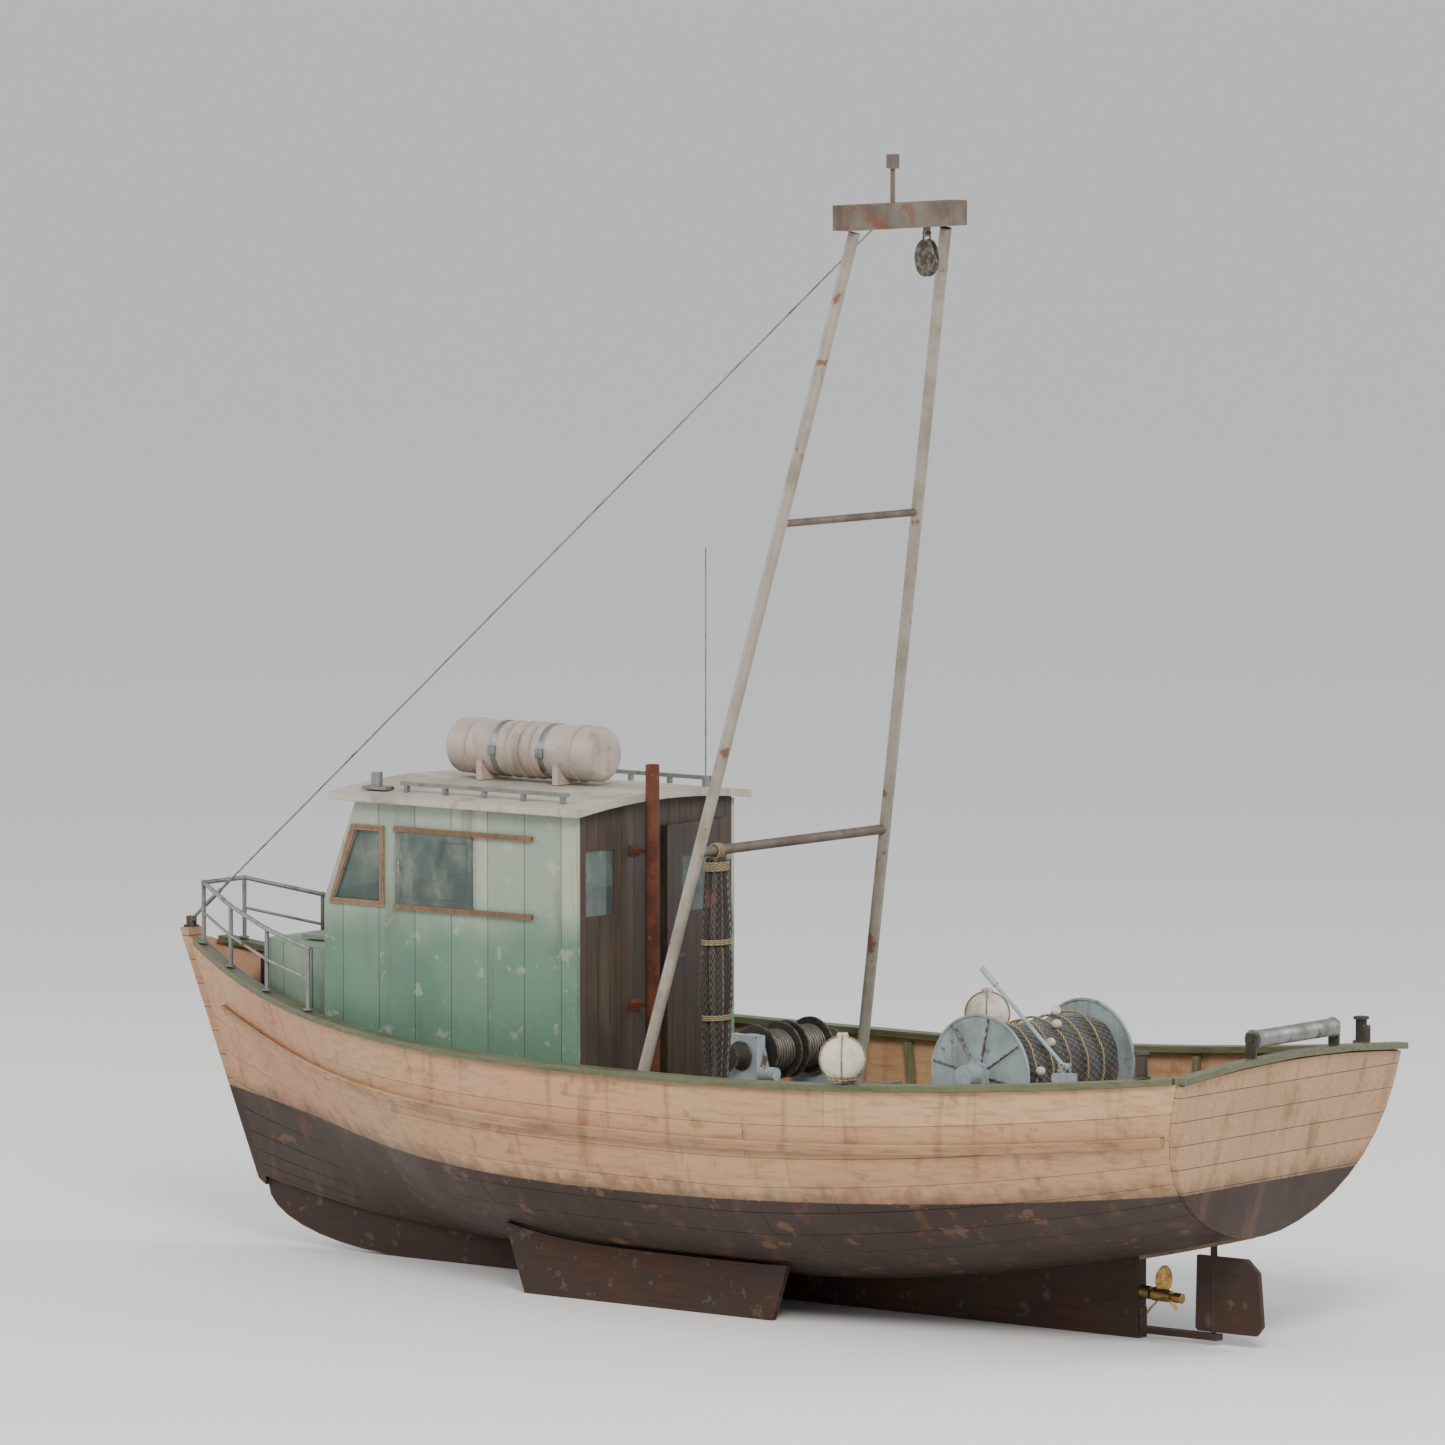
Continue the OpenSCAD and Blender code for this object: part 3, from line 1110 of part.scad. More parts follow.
module block_sheave() {
    color(steel) translate([block_pin.x, block_y, sheave_z]) rotate([90, 0, 0]) rotate_extrude($fn = 64)
        polygon([[10, -17], [sheave_r, -17], [sheave_r, -12], [sheave_r - 16, 0],
            [sheave_r, 12], [sheave_r, 17], [10, 17]]);
}

// Trawl net gathered up and hung from the low beam, as one closed bundle
net_top = low_beam_z - 32 - 12;
net_length = 1500;
net_y = 790;
module hung_net() {
    x = leg_at(low_beam_z).x;
    sides = 14;
    color([0.17, 0.15, 0.13]) loft([for (i = [0:10]) let (t = i / 10,
        swollen = 0.34 + 0.66 * pow(sin(min(1, 0.12 + t) * 150), 0.8))
        [for (k = [0:sides - 1]) let (a = -360 * k / sides)
            [x + 100 * swollen * cos(a), net_y + 130 * swollen * sin(a), net_top - net_length * t]]]);
}

// ---- Deck gear
winch_z = deck_z + winch_rise;
winch_half = 330;
winch_shaft_r = 30;
module winch_frame() {
    color([0.62, 0.66, 0.66]) {
        for (s = [-1, 1]) difference() {
            lengthwise(s * winch_half - 15, 30) polygon([[winch_x - 230, deck_z + 1], [winch_x + 230,
                deck_z + 1],
                [winch_x + 90, winch_z + 80], [winch_x + 50, winch_z + 130],
                [winch_x - 50, winch_z + 130], [winch_x - 90, winch_z + 80]]);
            axle(winch_x, s * winch_half, winch_z, winch_shaft_r + running, 60);
        }
        for (x = [winch_x - 190, winch_x + 150])
            block([x, x + 40], [-winch_half + 16, winch_half - 16], [deck_z + 60, deck_z + 110]);
        // Gear case with the hydraulic motor, on the port side
        difference() {
            block([winch_x - 120, winch_x + 120], [winch_half + 16, winch_half + 110], [winch_z - 190,
                winch_z + 130]);
            axle(winch_x, winch_half + 60, winch_z, winch_shaft_r + 4, 120);
        }
        translate([winch_x - 119, winch_half + 63, winch_z - 110]) rotate([0, -90, 0]) cylinder(h = 130,
            r = 45, $fn = facets);
    }
}
warp_head = [150, 95, 62];
module winch_drums() {
    color(steel) translate([winch_x, 0, winch_z]) rotate([-90, 0, 0]) {
        translate([0, 0, -winch_half - 200]) cylinder(h = 2 * winch_half + 400, r = winch_shaft_r,
            $fn = facets);
        for (s = [-1, 1]) {
            translate([0, 0, s * (winch_half - 165) - 130]) cylinder(h = 260, r = 75, $fn = facets);
            for (d = [-130, 118]) translate([0, 0, s * (winch_half - 165) + d]) cylinder(h = 12, r = 185,
                $fn = 64);
        }
        // Warping heads, waisted so that rope holds
        for (s = [-1, 1]) translate([0, 0,
            s > 0 ? winch_half + 120 : -winch_half - 120 + 100 - warp_head[0]])
            rotate_extrude($fn = 64) polygon(concat([[20, 0], [warp_head[1], 0]],
                [for (i = [1:5]) [warp_head[1] - 28 * sin(180 * i / 6), warp_head[0] * i / 6]],
                [[warp_head[1], warp_head[0]], [20, warp_head[0]]]));
    }
}
drum_z = deck_z + drum_rise;
drum_half = 560;
module net_drum_stands() {
    color([0.62, 0.66, 0.66]) {
        for (s = [-1, 1]) difference() {
            lengthwise(s * (drum_half + 55) - 12, 24) polygon([[drum_x - 260, deck_z + 1], [drum_x + 260,
                deck_z + 1],
                [drum_x + 70, drum_z + 60], [drum_x + 30, drum_z + 90], [drum_x - 30, drum_z + 90],
                    [drum_x - 70, drum_z + 60]]);
            axle(drum_x, s * (drum_half + 55), drum_z, 32 + running, 60);
        }
        for (x = [drum_x - 220, drum_x + 180])
            block([x, x + 40], [-drum_half - 42, drum_half + 42], [deck_z + 20, deck_z + 50]);
        // Pedestal of the drum's control valve, with cheeks for the lever
        block([lever_pin.x - 60, lever_pin.x + 60], [lever_pin.y - 55, lever_pin.y + 55], [deck_z + 1,
            lever_pin.z - 40]);
        block([lever_pin.x - 100, lever_pin.x + 100], [lever_pin.y - 90, lever_pin.y + 90], [deck_z + 1,
            deck_z + 14]);
        for (dy = [-34, 24]) block([lever_pin.x - 26, lever_pin.x + 26],
            [lever_pin.y + dy, lever_pin.y + dy + 10], [lever_pin.z - 41, lever_pin.z + 24]);
        axle(lever_pin.x, lever_pin.y, lever_pin.z, 8, 60);
        translate([drum_x, drum_half + 55 + 12, drum_z]) rotate([-90, 0, 0]) difference() {
            cylinder(h = 120, r = 70, $fn = facets);
            translate([0, 0, -1]) cylinder(h = 70, r = 34, $fn = facets);
        }
    }
}
lever_pin = [drum_x - 790, 750, deck_z + 640];
lever_length = 860;
lever_lean = 48;
module control_lever() {
    tip = lever_pin + lever_length * [sin(lever_lean), 0, cos(lever_lean)];
    grip = lever_pin + (lever_length - 150) * [sin(lever_lean), 0, cos(lever_lean)];
    color([0.75, 0.74, 0.70]) difference() {
        union() {
            rod(lever_pin + 0.02 * (tip - lever_pin), tip, 13);
            rod(grip, tip, 19);
            axle(lever_pin.x, lever_pin.y, lever_pin.z, 24, 44);
        }
        axle(lever_pin.x, lever_pin.y, lever_pin.z, 8 + running, 60);
    }
}
net_roll_r = 300;
module net_drum() {
    color([0.16, 0.20, 0.17]) translate([drum_x, 0, drum_z]) rotate([-90, 0, 0]) {
        translate([0, 0, -drum_half - 110]) cylinder(h = 2 * drum_half + 220, r = 32, $fn = facets);
        for (s = [-1, 1]) translate([0, 0, s * drum_half - 7]) cylinder(h = 14, r = drum_flange_r,
            $fn = 96);
        translate([0, 0, -drum_half + 6]) cylinder(h = 2 * drum_half - 12, r = net_roll_r, $fn = 96);
    }
}
module fish_hatch_coaming() {
    x0 = hatch_aft;
    x1 = hatch_aft + hatch_length;
    color(bare_wood) difference() {
        block([x0 - 44, x1 + 44], [-hatch_half - 44, hatch_half + 44], [deck_z + 1, deck_z + coaming]);
        block([x0, x1], [-hatch_half, hatch_half], [deck_z - 1, deck_z + coaming + 1]);
    }
}
module fish_hatch_cover() {
    x0 = hatch_aft - 70;
    x1 = hatch_aft + hatch_length + 70;
    y = hatch_half + 70;
    z = deck_z + coaming + 2;
    color(olive) {
        block([x0, x1], [-y, y], [z, z + 34]);
        block([x0, x0 + 22], [-y, y], [z - 55, z + 1]);
        block([x1 - 22, x1], [-y, y], [z - 55, z + 1]);
        for (s = [-1, 1]) block([x0, x1], s > 0 ? [y - 22, y] : [-y, -y + 22], [z - 55, z + 1]);
        for (x = [x0 + 250, x1 - 250]) block([x - 20, x + 20], [-y + 80, y - 80], [z + 33.5, z + 58]);
    }
}
// Net floats lashed to the cap rails
float_r = 140;
float_spots = [[-2080, 1], [-1150, -1]];
module floats() {
    color([0.86, 0.84, 0.78]) for (f = float_spots) {
        y = f[1] * (sheer_half_at(f[0]) - cap_width / 2 + 30);
        z = cap_top(sheer_share(f[0])) + 5;
        translate([f[0], y, z]) cylinder(h = 30, r = 62, $fn = facets);
        translate([f[0], y, z + float_r + 8]) sphere(r = float_r, $fn = 64);
        translate([f[0], y, z + 2 * float_r]) cylinder(h = 40, r = 30, $fn = facets);
    }
}
post_x = head_fore - 640;
post_r = 55;
post_shoulder = 205;
post_head = 225;
socket_y = -800;
socket_r = 12.5;
socket_depth = 95;
module deck_fittings() {
    // Bow post with its cross pin
    color([0.2, 0.18, 0.15]) {
        translate([post_x, 0, foredeck_z + 1]) cylinder(h = post_shoulder, r = post_r + 5, $fn = 64);
        translate([post_x, 0, foredeck_z + post_shoulder]) cylinder(h = post_head, r = post_r, $fn = 64);
        translate([post_x, 0, foredeck_z + 1]) cylinder(h = 12, r = 100, $fn = 64);
        axle(post_x, 0, foredeck_z + 190, 12, 260);
        // Eye plate of the forestay, on the stem head
        stay_cheeks(stay_low, head_fore + 10, head_fore + 70, sheer_z(1) + stem_proud + 13,
            stay_low.z + 24);
        block([head_fore + 6, head_fore + 76], [-40, 40], [sheer_z(1) + stem_proud + 1,
            sheer_z(1) + stem_proud + 13.5]);
        // Quarter bollards on the cap rail
        both_sides() let (x = head_aft + 260, y = sheer_half_at(x) - 30, z = cap_top(sheer_share(x)) + 8) {
            translate([x, y, z]) cylinder(h = 150, r = 36, $fn = facets);
            translate([x, y, z + 149]) cylinder(h = 16, r = 50, $fn = facets);
            translate([x, y, z]) cylinder(h = 12, r = 55, $fn = facets);
        }
        // Brackets and fixed axle of the stern roller, on the taffrail
        both_sides() block([roller_x - 40, roller_x + 40], [roller_half + 10, roller_half + 24],
            [taffrail_top(roller_half) + 1, roller_z + 40]);
        axle(roller_x, 0, roller_z, roller_axle_r, 2 * roller_half + 60);
        // Socket for the flagstaff
        translate([head_aft - 44, socket_y, taffrail_top(-socket_y) + 6]) difference() {
            cylinder(h = socket_depth + 12, r = 24, $fn = facets);
            translate([0, 0, 12]) cylinder(h = socket_depth + 1, r = socket_r, $fn = facets);
        }
    }
}
roller_axle_r = 15;
// Top of the taffrail, which is made of straight lengths
function taffrail_top(y) = let (half = (transom_half + 25) / 2, k = min(1, floor(y / half)),
    crown = function (v) transom_crown * (1 - pow(min(1, v / transom_half), 2)))
    sheer_z(0) + 4 + cap_thick + mix(crown(k * half), crown((k + 1) * half), y / half - k);
roller_z = sheer_z(0) + transom_crown + cap_thick + 110;
roller_x = head_aft - 40;
roller_half = 430;
roller_r = 55;
module stern_roller() {
    color(steel) translate([roller_x, 0, roller_z]) rotate([90, 0, 0]) rotate_extrude($fn = 64)
        polygon([[roller_axle_r + running, -roller_half], [roller_r + 8, -roller_half], [roller_r,
            -roller_half + 40],
            [roller_r, roller_half - 40], [roller_r + 8, roller_half], [roller_axle_r + running,
                roller_half]]);
}

keel();
hog_and_horn_timber();
stem();
port_planking();
starboard_planking();
frames();
floors_and_bearers();
transom();
deck_beams();
main_deck();
foredeck();
bulkheads();
cap_rail();
rub_rails();
bulwark_stanchions();
bilge_keels();
skeg_shoe();
trunk_cabin();
fore_hatch();
pulpit();
wheelhouse_sides();
wheelhouse_front();
wheelhouse_aft();
wheelhouse_roof();
window_frames();
window_glass();
sliding_window();
door();
door_hinges();
helm_console();
steering_wheel();
throttle_lever();
roof_fittings();
liferaft();
exhaust_stack();
engine();
gearbox();
fuel_tank();
propeller_shaft();
propeller();
stern_tube();
rudder();
rudder_tube();
tiller_arm();
gantry_legs();
gantry_beams();
forestay();
hauling_block();
block_sheave();
hung_net();
winch_frame();
winch_drums();
net_drum_stands();
net_drum();
control_lever();
fish_hatch_coaming();
fish_hatch_cover();
floats();
deck_fittings();
stern_roller();
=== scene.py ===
import bpy, math
import numpy as np
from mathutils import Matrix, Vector


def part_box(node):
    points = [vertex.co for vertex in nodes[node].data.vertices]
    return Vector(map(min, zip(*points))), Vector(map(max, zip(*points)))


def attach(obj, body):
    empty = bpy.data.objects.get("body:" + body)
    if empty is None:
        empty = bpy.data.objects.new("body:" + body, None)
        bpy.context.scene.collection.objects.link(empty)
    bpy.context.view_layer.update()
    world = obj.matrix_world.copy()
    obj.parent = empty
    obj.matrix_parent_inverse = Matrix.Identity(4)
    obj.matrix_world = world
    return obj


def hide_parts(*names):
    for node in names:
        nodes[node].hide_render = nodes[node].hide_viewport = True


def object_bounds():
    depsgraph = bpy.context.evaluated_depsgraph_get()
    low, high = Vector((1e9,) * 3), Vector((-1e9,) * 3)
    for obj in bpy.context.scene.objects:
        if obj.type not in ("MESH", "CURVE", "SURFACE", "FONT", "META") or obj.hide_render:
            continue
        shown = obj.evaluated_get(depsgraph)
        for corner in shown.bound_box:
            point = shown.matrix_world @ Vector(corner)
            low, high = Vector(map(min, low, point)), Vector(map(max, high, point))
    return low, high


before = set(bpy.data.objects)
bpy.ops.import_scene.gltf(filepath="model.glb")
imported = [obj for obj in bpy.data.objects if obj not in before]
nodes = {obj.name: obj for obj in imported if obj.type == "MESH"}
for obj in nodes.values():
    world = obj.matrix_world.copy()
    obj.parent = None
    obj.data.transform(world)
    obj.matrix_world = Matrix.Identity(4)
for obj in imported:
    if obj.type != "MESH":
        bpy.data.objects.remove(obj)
cadBox = [list(corner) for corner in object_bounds()]
print("frame loaded:", len(nodes), "nodes")

# Camera and lights

studio = {"azimuth": 218, "elevation": 5, "lens": 260, "film": 36, "width": 9.3, "farthest": 4000, "litHeight": 2,
          "sky": (0.95, 0.97, 1.0), "skyStrength": 0.85,
          "lights": {"keyLight": ((-16, 15, 17), 9, 5600, (1.0, 0.97, 0.92)),  # place, size, power, colour
                     "fillLight": ((-14, -18, 12), 14, 2300, (0.92, 0.96, 1.0)),
                     "bowLight": ((20, 10, 12), 12, 2600, (1.0, 0.98, 0.95))}}

def aimed(location, target):
    return (Vector(target) - Vector(location)).to_track_quat("-Z", "Y").to_euler()

def makeCamera(s):
    low, high = (np.array(c) for c in cadBox)
    centre = (low + high) / 2
    a, e = math.radians(s["azimuth"]), math.radians(s["elevation"])
    back = np.array([math.sin(a) * math.cos(e), -math.cos(a) * math.cos(e), math.sin(e)])
    data = bpy.data.cameras.new("camera")
    data.lens, data.sensor_width = s["lens"], s["film"]
    data.clip_end = s["farthest"]
    away = s["width"] / s["film"] * s["lens"]  # the frame is this wide at the boat's middle
    camera = bpy.data.objects.new("camera", data)
    camera.location = centre + back * away
    camera.rotation_euler = aimed(camera.location, centre)
    bpy.context.scene.collection.objects.link(camera)
    bpy.context.scene.camera = camera

def makeLights(s):
    for name, (location, size, power, colour) in s["lights"].items():
        data = bpy.data.lights.new(name, "AREA")
        data.shape, data.size, data.energy, data.color = "DISK", size, power, colour
        light = bpy.data.objects.new(name, data)
        light.location = location
        light.rotation_euler = aimed(location, (0, 0, s["litHeight"]))
        bpy.context.scene.collection.objects.link(light)
    world = bpy.data.worlds.new("studioSky")
    world.use_nodes = True
    background = world.node_tree.nodes["Background"]
    background.inputs["Color"].default_value = (*s["sky"], 1)
    background.inputs["Strength"].default_value = s["skyStrength"]
    bpy.context.scene.world = world

makeCamera(studio)
makeLights(studio)

# Materials: every pattern reads Object coordinates or the piece's own UV map

def linear(colour):
    return tuple(((c + 0.055) / 1.055) ** 2.4 if c > 0.04 else c / 12.92 for c in colour) + (1.0,)

class Shade:  # a material with short words for the nodes that every finish uses
    def __init__(self, name):
        self.material = bpy.data.materials.new(name)
        self.material.use_nodes = True
        self.tree = self.material.node_tree
        self.shader = self.tree.nodes["Principled BSDF"]
        self.place = self.add("TexCoord").outputs["Object"]
        parts = self.add("SeparateXYZ", {"Vector": self.place})
        self.x, self.y, self.z = parts.outputs

    def add(self, kind, inputs=None, **settings):
        node = self.tree.nodes.new("ShaderNode" + kind)
        for key, value in settings.items():
            setattr(node, key, value)
        for key, value in (inputs or {}).items():
            if isinstance(value, bpy.types.NodeSocket):
                self.tree.links.new(value, node.inputs[key])
            else:
                node.inputs[key].default_value = value
        return node

    def sum(self, how, a, b=0.0, c=0.0):
        return self.add("Math", {0: a, 1: b, 2: c}, operation=how).outputs[0]

    def noise(self, scale, stretch=(1, 1, 1), detail=5.0):
        spread = self.add("Mapping", {"Vector": self.place, "Scale": stretch}).outputs[0]
        return self.add("TexNoise", {"Vector": spread, "Scale": scale, "Detail": detail,
                                     "Roughness": 0.6}).outputs["Fac"]

    def ease(self, value, low, high, top=1.0):  # 0 below low, top above high, smooth between
        return self.add("MapRange", {"Value": value, "From Min": low, "From Max": high, "To Max": top},
                        interpolation_type="SMOOTHSTEP").outputs["Result"]

    def paint(self, below, above, share):
        node = self.add("Mix", data_type="RGBA")
        for index, value in ((0, share), (6, below), (7, above)):
            if isinstance(value, bpy.types.NodeSocket):
                self.tree.links.new(value, node.inputs[index])
            else:
                node.inputs[index].default_value = value
        return node.outputs[2]

    def into(self, socket, value):
        if isinstance(value, bpy.types.NodeSocket):
            self.tree.links.new(value, self.shader.inputs[socket])
        else:
            self.shader.inputs[socket].default_value = value

endSquared = 19.0  # the hull's half length squared: the painted line has risen in full there

# For each pattern, the value where it starts to show and the value where it shows in full
shows = {"patch": (0.42, 0.66), "plank": (0.35, 1.0), "fibres": (0.45, 0.72), "board": (0.2, 1.0),
         "grime": (0.0, 0.16), "foul": (0.45, 0.7), "line": (-0.002, 0.006), "run": (0.53, 0.70),
         "spot": (0.60, 0.66), "corner": (0.22, 0.5), "rubbed": (0.38, 0.6), "haze": (0.4, 0.7)}

# Base colour with patches, then a second colour by height, plank tones, grain, boards, the painted bottom, runs of
# dirt, spots, worn edges and a pane of glass, and last a fine mottling over them all
def finishOf(name, s):
    m = Shade(name)
    mottle = m.noise(s.get("mottleScale", 38), detail=6)
    patch = m.noise(s.get("patchScale", 1.6), s.get("patchStretch", (1, 1, 1)), 7)
    colour = m.paint(linear(s["base"]), linear(s["worn"]), m.ease(patch, *shows["patch"], s.get("patches", 0.8)))
    if "upper" in s:  # (colour, height where it starts, height where it is full)
        shade, start, full = s["upper"]
        height = m.sum("MULTIPLY_ADD", m.noise(2.4, detail=6), 0.5, m.z)
        colour = m.paint(colour, linear(shade), m.ease(height, start + 0.25, full + 0.25, 0.92))
    if "plank" in s:  # each plank its own tone, from the mesh's attribute
        tone = m.add("Attribute", attribute_name="plank").outputs["Fac"]
        colour = m.paint(colour, linear(s["plank"]), m.ease(tone, *shows["plank"], 0.55))
    relief = m.sum("MULTIPLY", mottle, 0.35)
    if "grain" in s:  # (stretch, darker colour): long fibres
        stretch, shade = s["grain"]
        fibres = m.noise(6.0, stretch, 8)
        colour = m.paint(colour, linear(shade), m.ease(fibres, *shows["fibres"], 0.7))
        relief = m.sum("ADD", relief, m.sum("MULTIPLY", fibres, 0.8))
    if "boards" in s:  # (axis, width, half seam, seam colour)
        axis, width, half, shade = s["boards"]
        count = m.sum("DIVIDE", (m.x, m.y, m.z)[axis], width)
        place = m.sum("ABSOLUTE", m.sum("SUBTRACT", m.sum("FRACT", count), 0.5))
        seam = m.ease(place, 0.5 - half / width, 0.5 - 0.4 * half / width)
        tone = m.add("TexWhiteNoise", {"W": m.sum("FLOOR", count)}, noise_dimensions="1D").outputs["Value"]
        colour = m.paint(colour, linear(s["worn"]), m.ease(tone, *shows["board"], 0.4))
        colour = m.paint(colour, linear(shade), m.sum("MULTIPLY", seam, 0.85))
        relief = m.sum("SUBTRACT", relief, m.sum("MULTIPLY", seam, 1.5))
    if "line" in s:  # (colour, height amidships, rise of the line at the ends, grime above it)
        shade, height, rise, grime = s["line"]
        level = m.sum("MULTIPLY_ADD", m.sum("MULTIPLY", m.x, m.x), rise / endSquared, height)
        below = m.sum("SUBTRACT", m.sum("MULTIPLY_ADD", mottle, 0.02, level), m.z)
        ragged = m.sum("MULTIPLY_ADD", m.noise(7, (1, 1, 0.35)), 0.30, m.sum("SUBTRACT", below, 0.02))
        colour = m.paint(colour, linear(grime), m.ease(ragged, *shows["grime"], 0.62))
        foul = m.paint(linear(shade), linear(grime), m.ease(m.noise(5.5, (1, 1, 0.5), 7), *shows["foul"], 0.8))
        colour = m.paint(colour, foul, m.ease(below, *shows["line"]))
    if "runs" in s:  # (colour, how much): dirt and rust run down from joints
        shade, share = s["runs"]
        down = m.noise(2.2, (3.2, 3.2, 0.32), 6)
        colour = m.paint(colour, linear(shade), m.ease(down, *shows["run"], share))
    if "spots" in s:  # (colour, scale, how much): chips and rust blooms
        shade, scale, share = s["spots"]
        colour = m.paint(colour, linear(shade), m.ease(m.noise(scale, detail=8), *shows["spot"], share))
    if "edge" in s:  # (colour, how much): rubbed corners
        shade, share = s["edge"]
        hidden = m.add("AmbientOcclusion", {"Distance": 0.014}, samples=4, inside=True).outputs["AO"]
        rubbed = m.sum("MULTIPLY", m.ease(m.sum("SUBTRACT", 1.0, hidden), *shows["corner"]),
                       m.ease(mottle, *shows["rubbed"]))
        colour = m.paint(colour, linear(shade), m.sum("MULTIPLY", rubbed, share))
    inPane = None
    if "pane" in s:  # (middle, half size) along Y and along Z: a sheet of hazy glass let into the boards
        sides = [m.ease(m.sum("ABSOLUTE", m.sum("SUBTRACT", place, middle)), half + 0.0006, half + 0.0002)
                 for place, (middle, half) in zip((m.y, m.z), s["pane"])]
        inPane = m.sum("MULTIPLY", *sides)
        haze = m.ease(m.noise(5, (1, 1, 0.6), 7), *shows["haze"], 0.8)
        # the pane's dark colour is painted shade of the cabin seen through the glass, with a lighter haze over it
        colour = m.paint(colour, m.paint(linear((0.17, 0.22, 0.21)), linear((0.36, 0.42, 0.40)), haze), inPane)
        relief = m.sum("MULTIPLY", relief, m.sum("SUBTRACT", 1.0, inPane))
    dull = m.paint(linear((0.8,) * 3), linear((1.0,) * 3), mottle)
    tinted = m.add("Mix", data_type="RGBA", blend_type="MULTIPLY")
    tinted.inputs[0].default_value = 0.5
    m.tree.links.new(colour, tinted.inputs[6])
    m.tree.links.new(dull, tinted.inputs[7])
    m.into("Base Color", tinted.outputs[2])
    low, high = s.get("rough", (0.5, 0.8))
    rough = m.add("MapRange", {"Value": patch, "From Min": 0.3, "From Max": 0.7,
                               "To Min": low, "To Max": high}).outputs["Result"]
    m.into("Roughness", m.sum("MULTIPLY", rough, m.sum("MULTIPLY_ADD", inPane, -0.8, 1.0)) if inPane else rough)
    m.into("Metallic", s.get("metal", 0.0))
    if s.get("coat"):
        m.into("Coat Weight", s["coat"])
        m.into("Coat Roughness", 0.28)
    bump = m.add("Bump", {"Height": relief, "Strength": s.get("bump", 0.5), "Distance": s.get("depth", 0.004)})
    m.into("Normal", bump.outputs["Normal"])
    return m.material

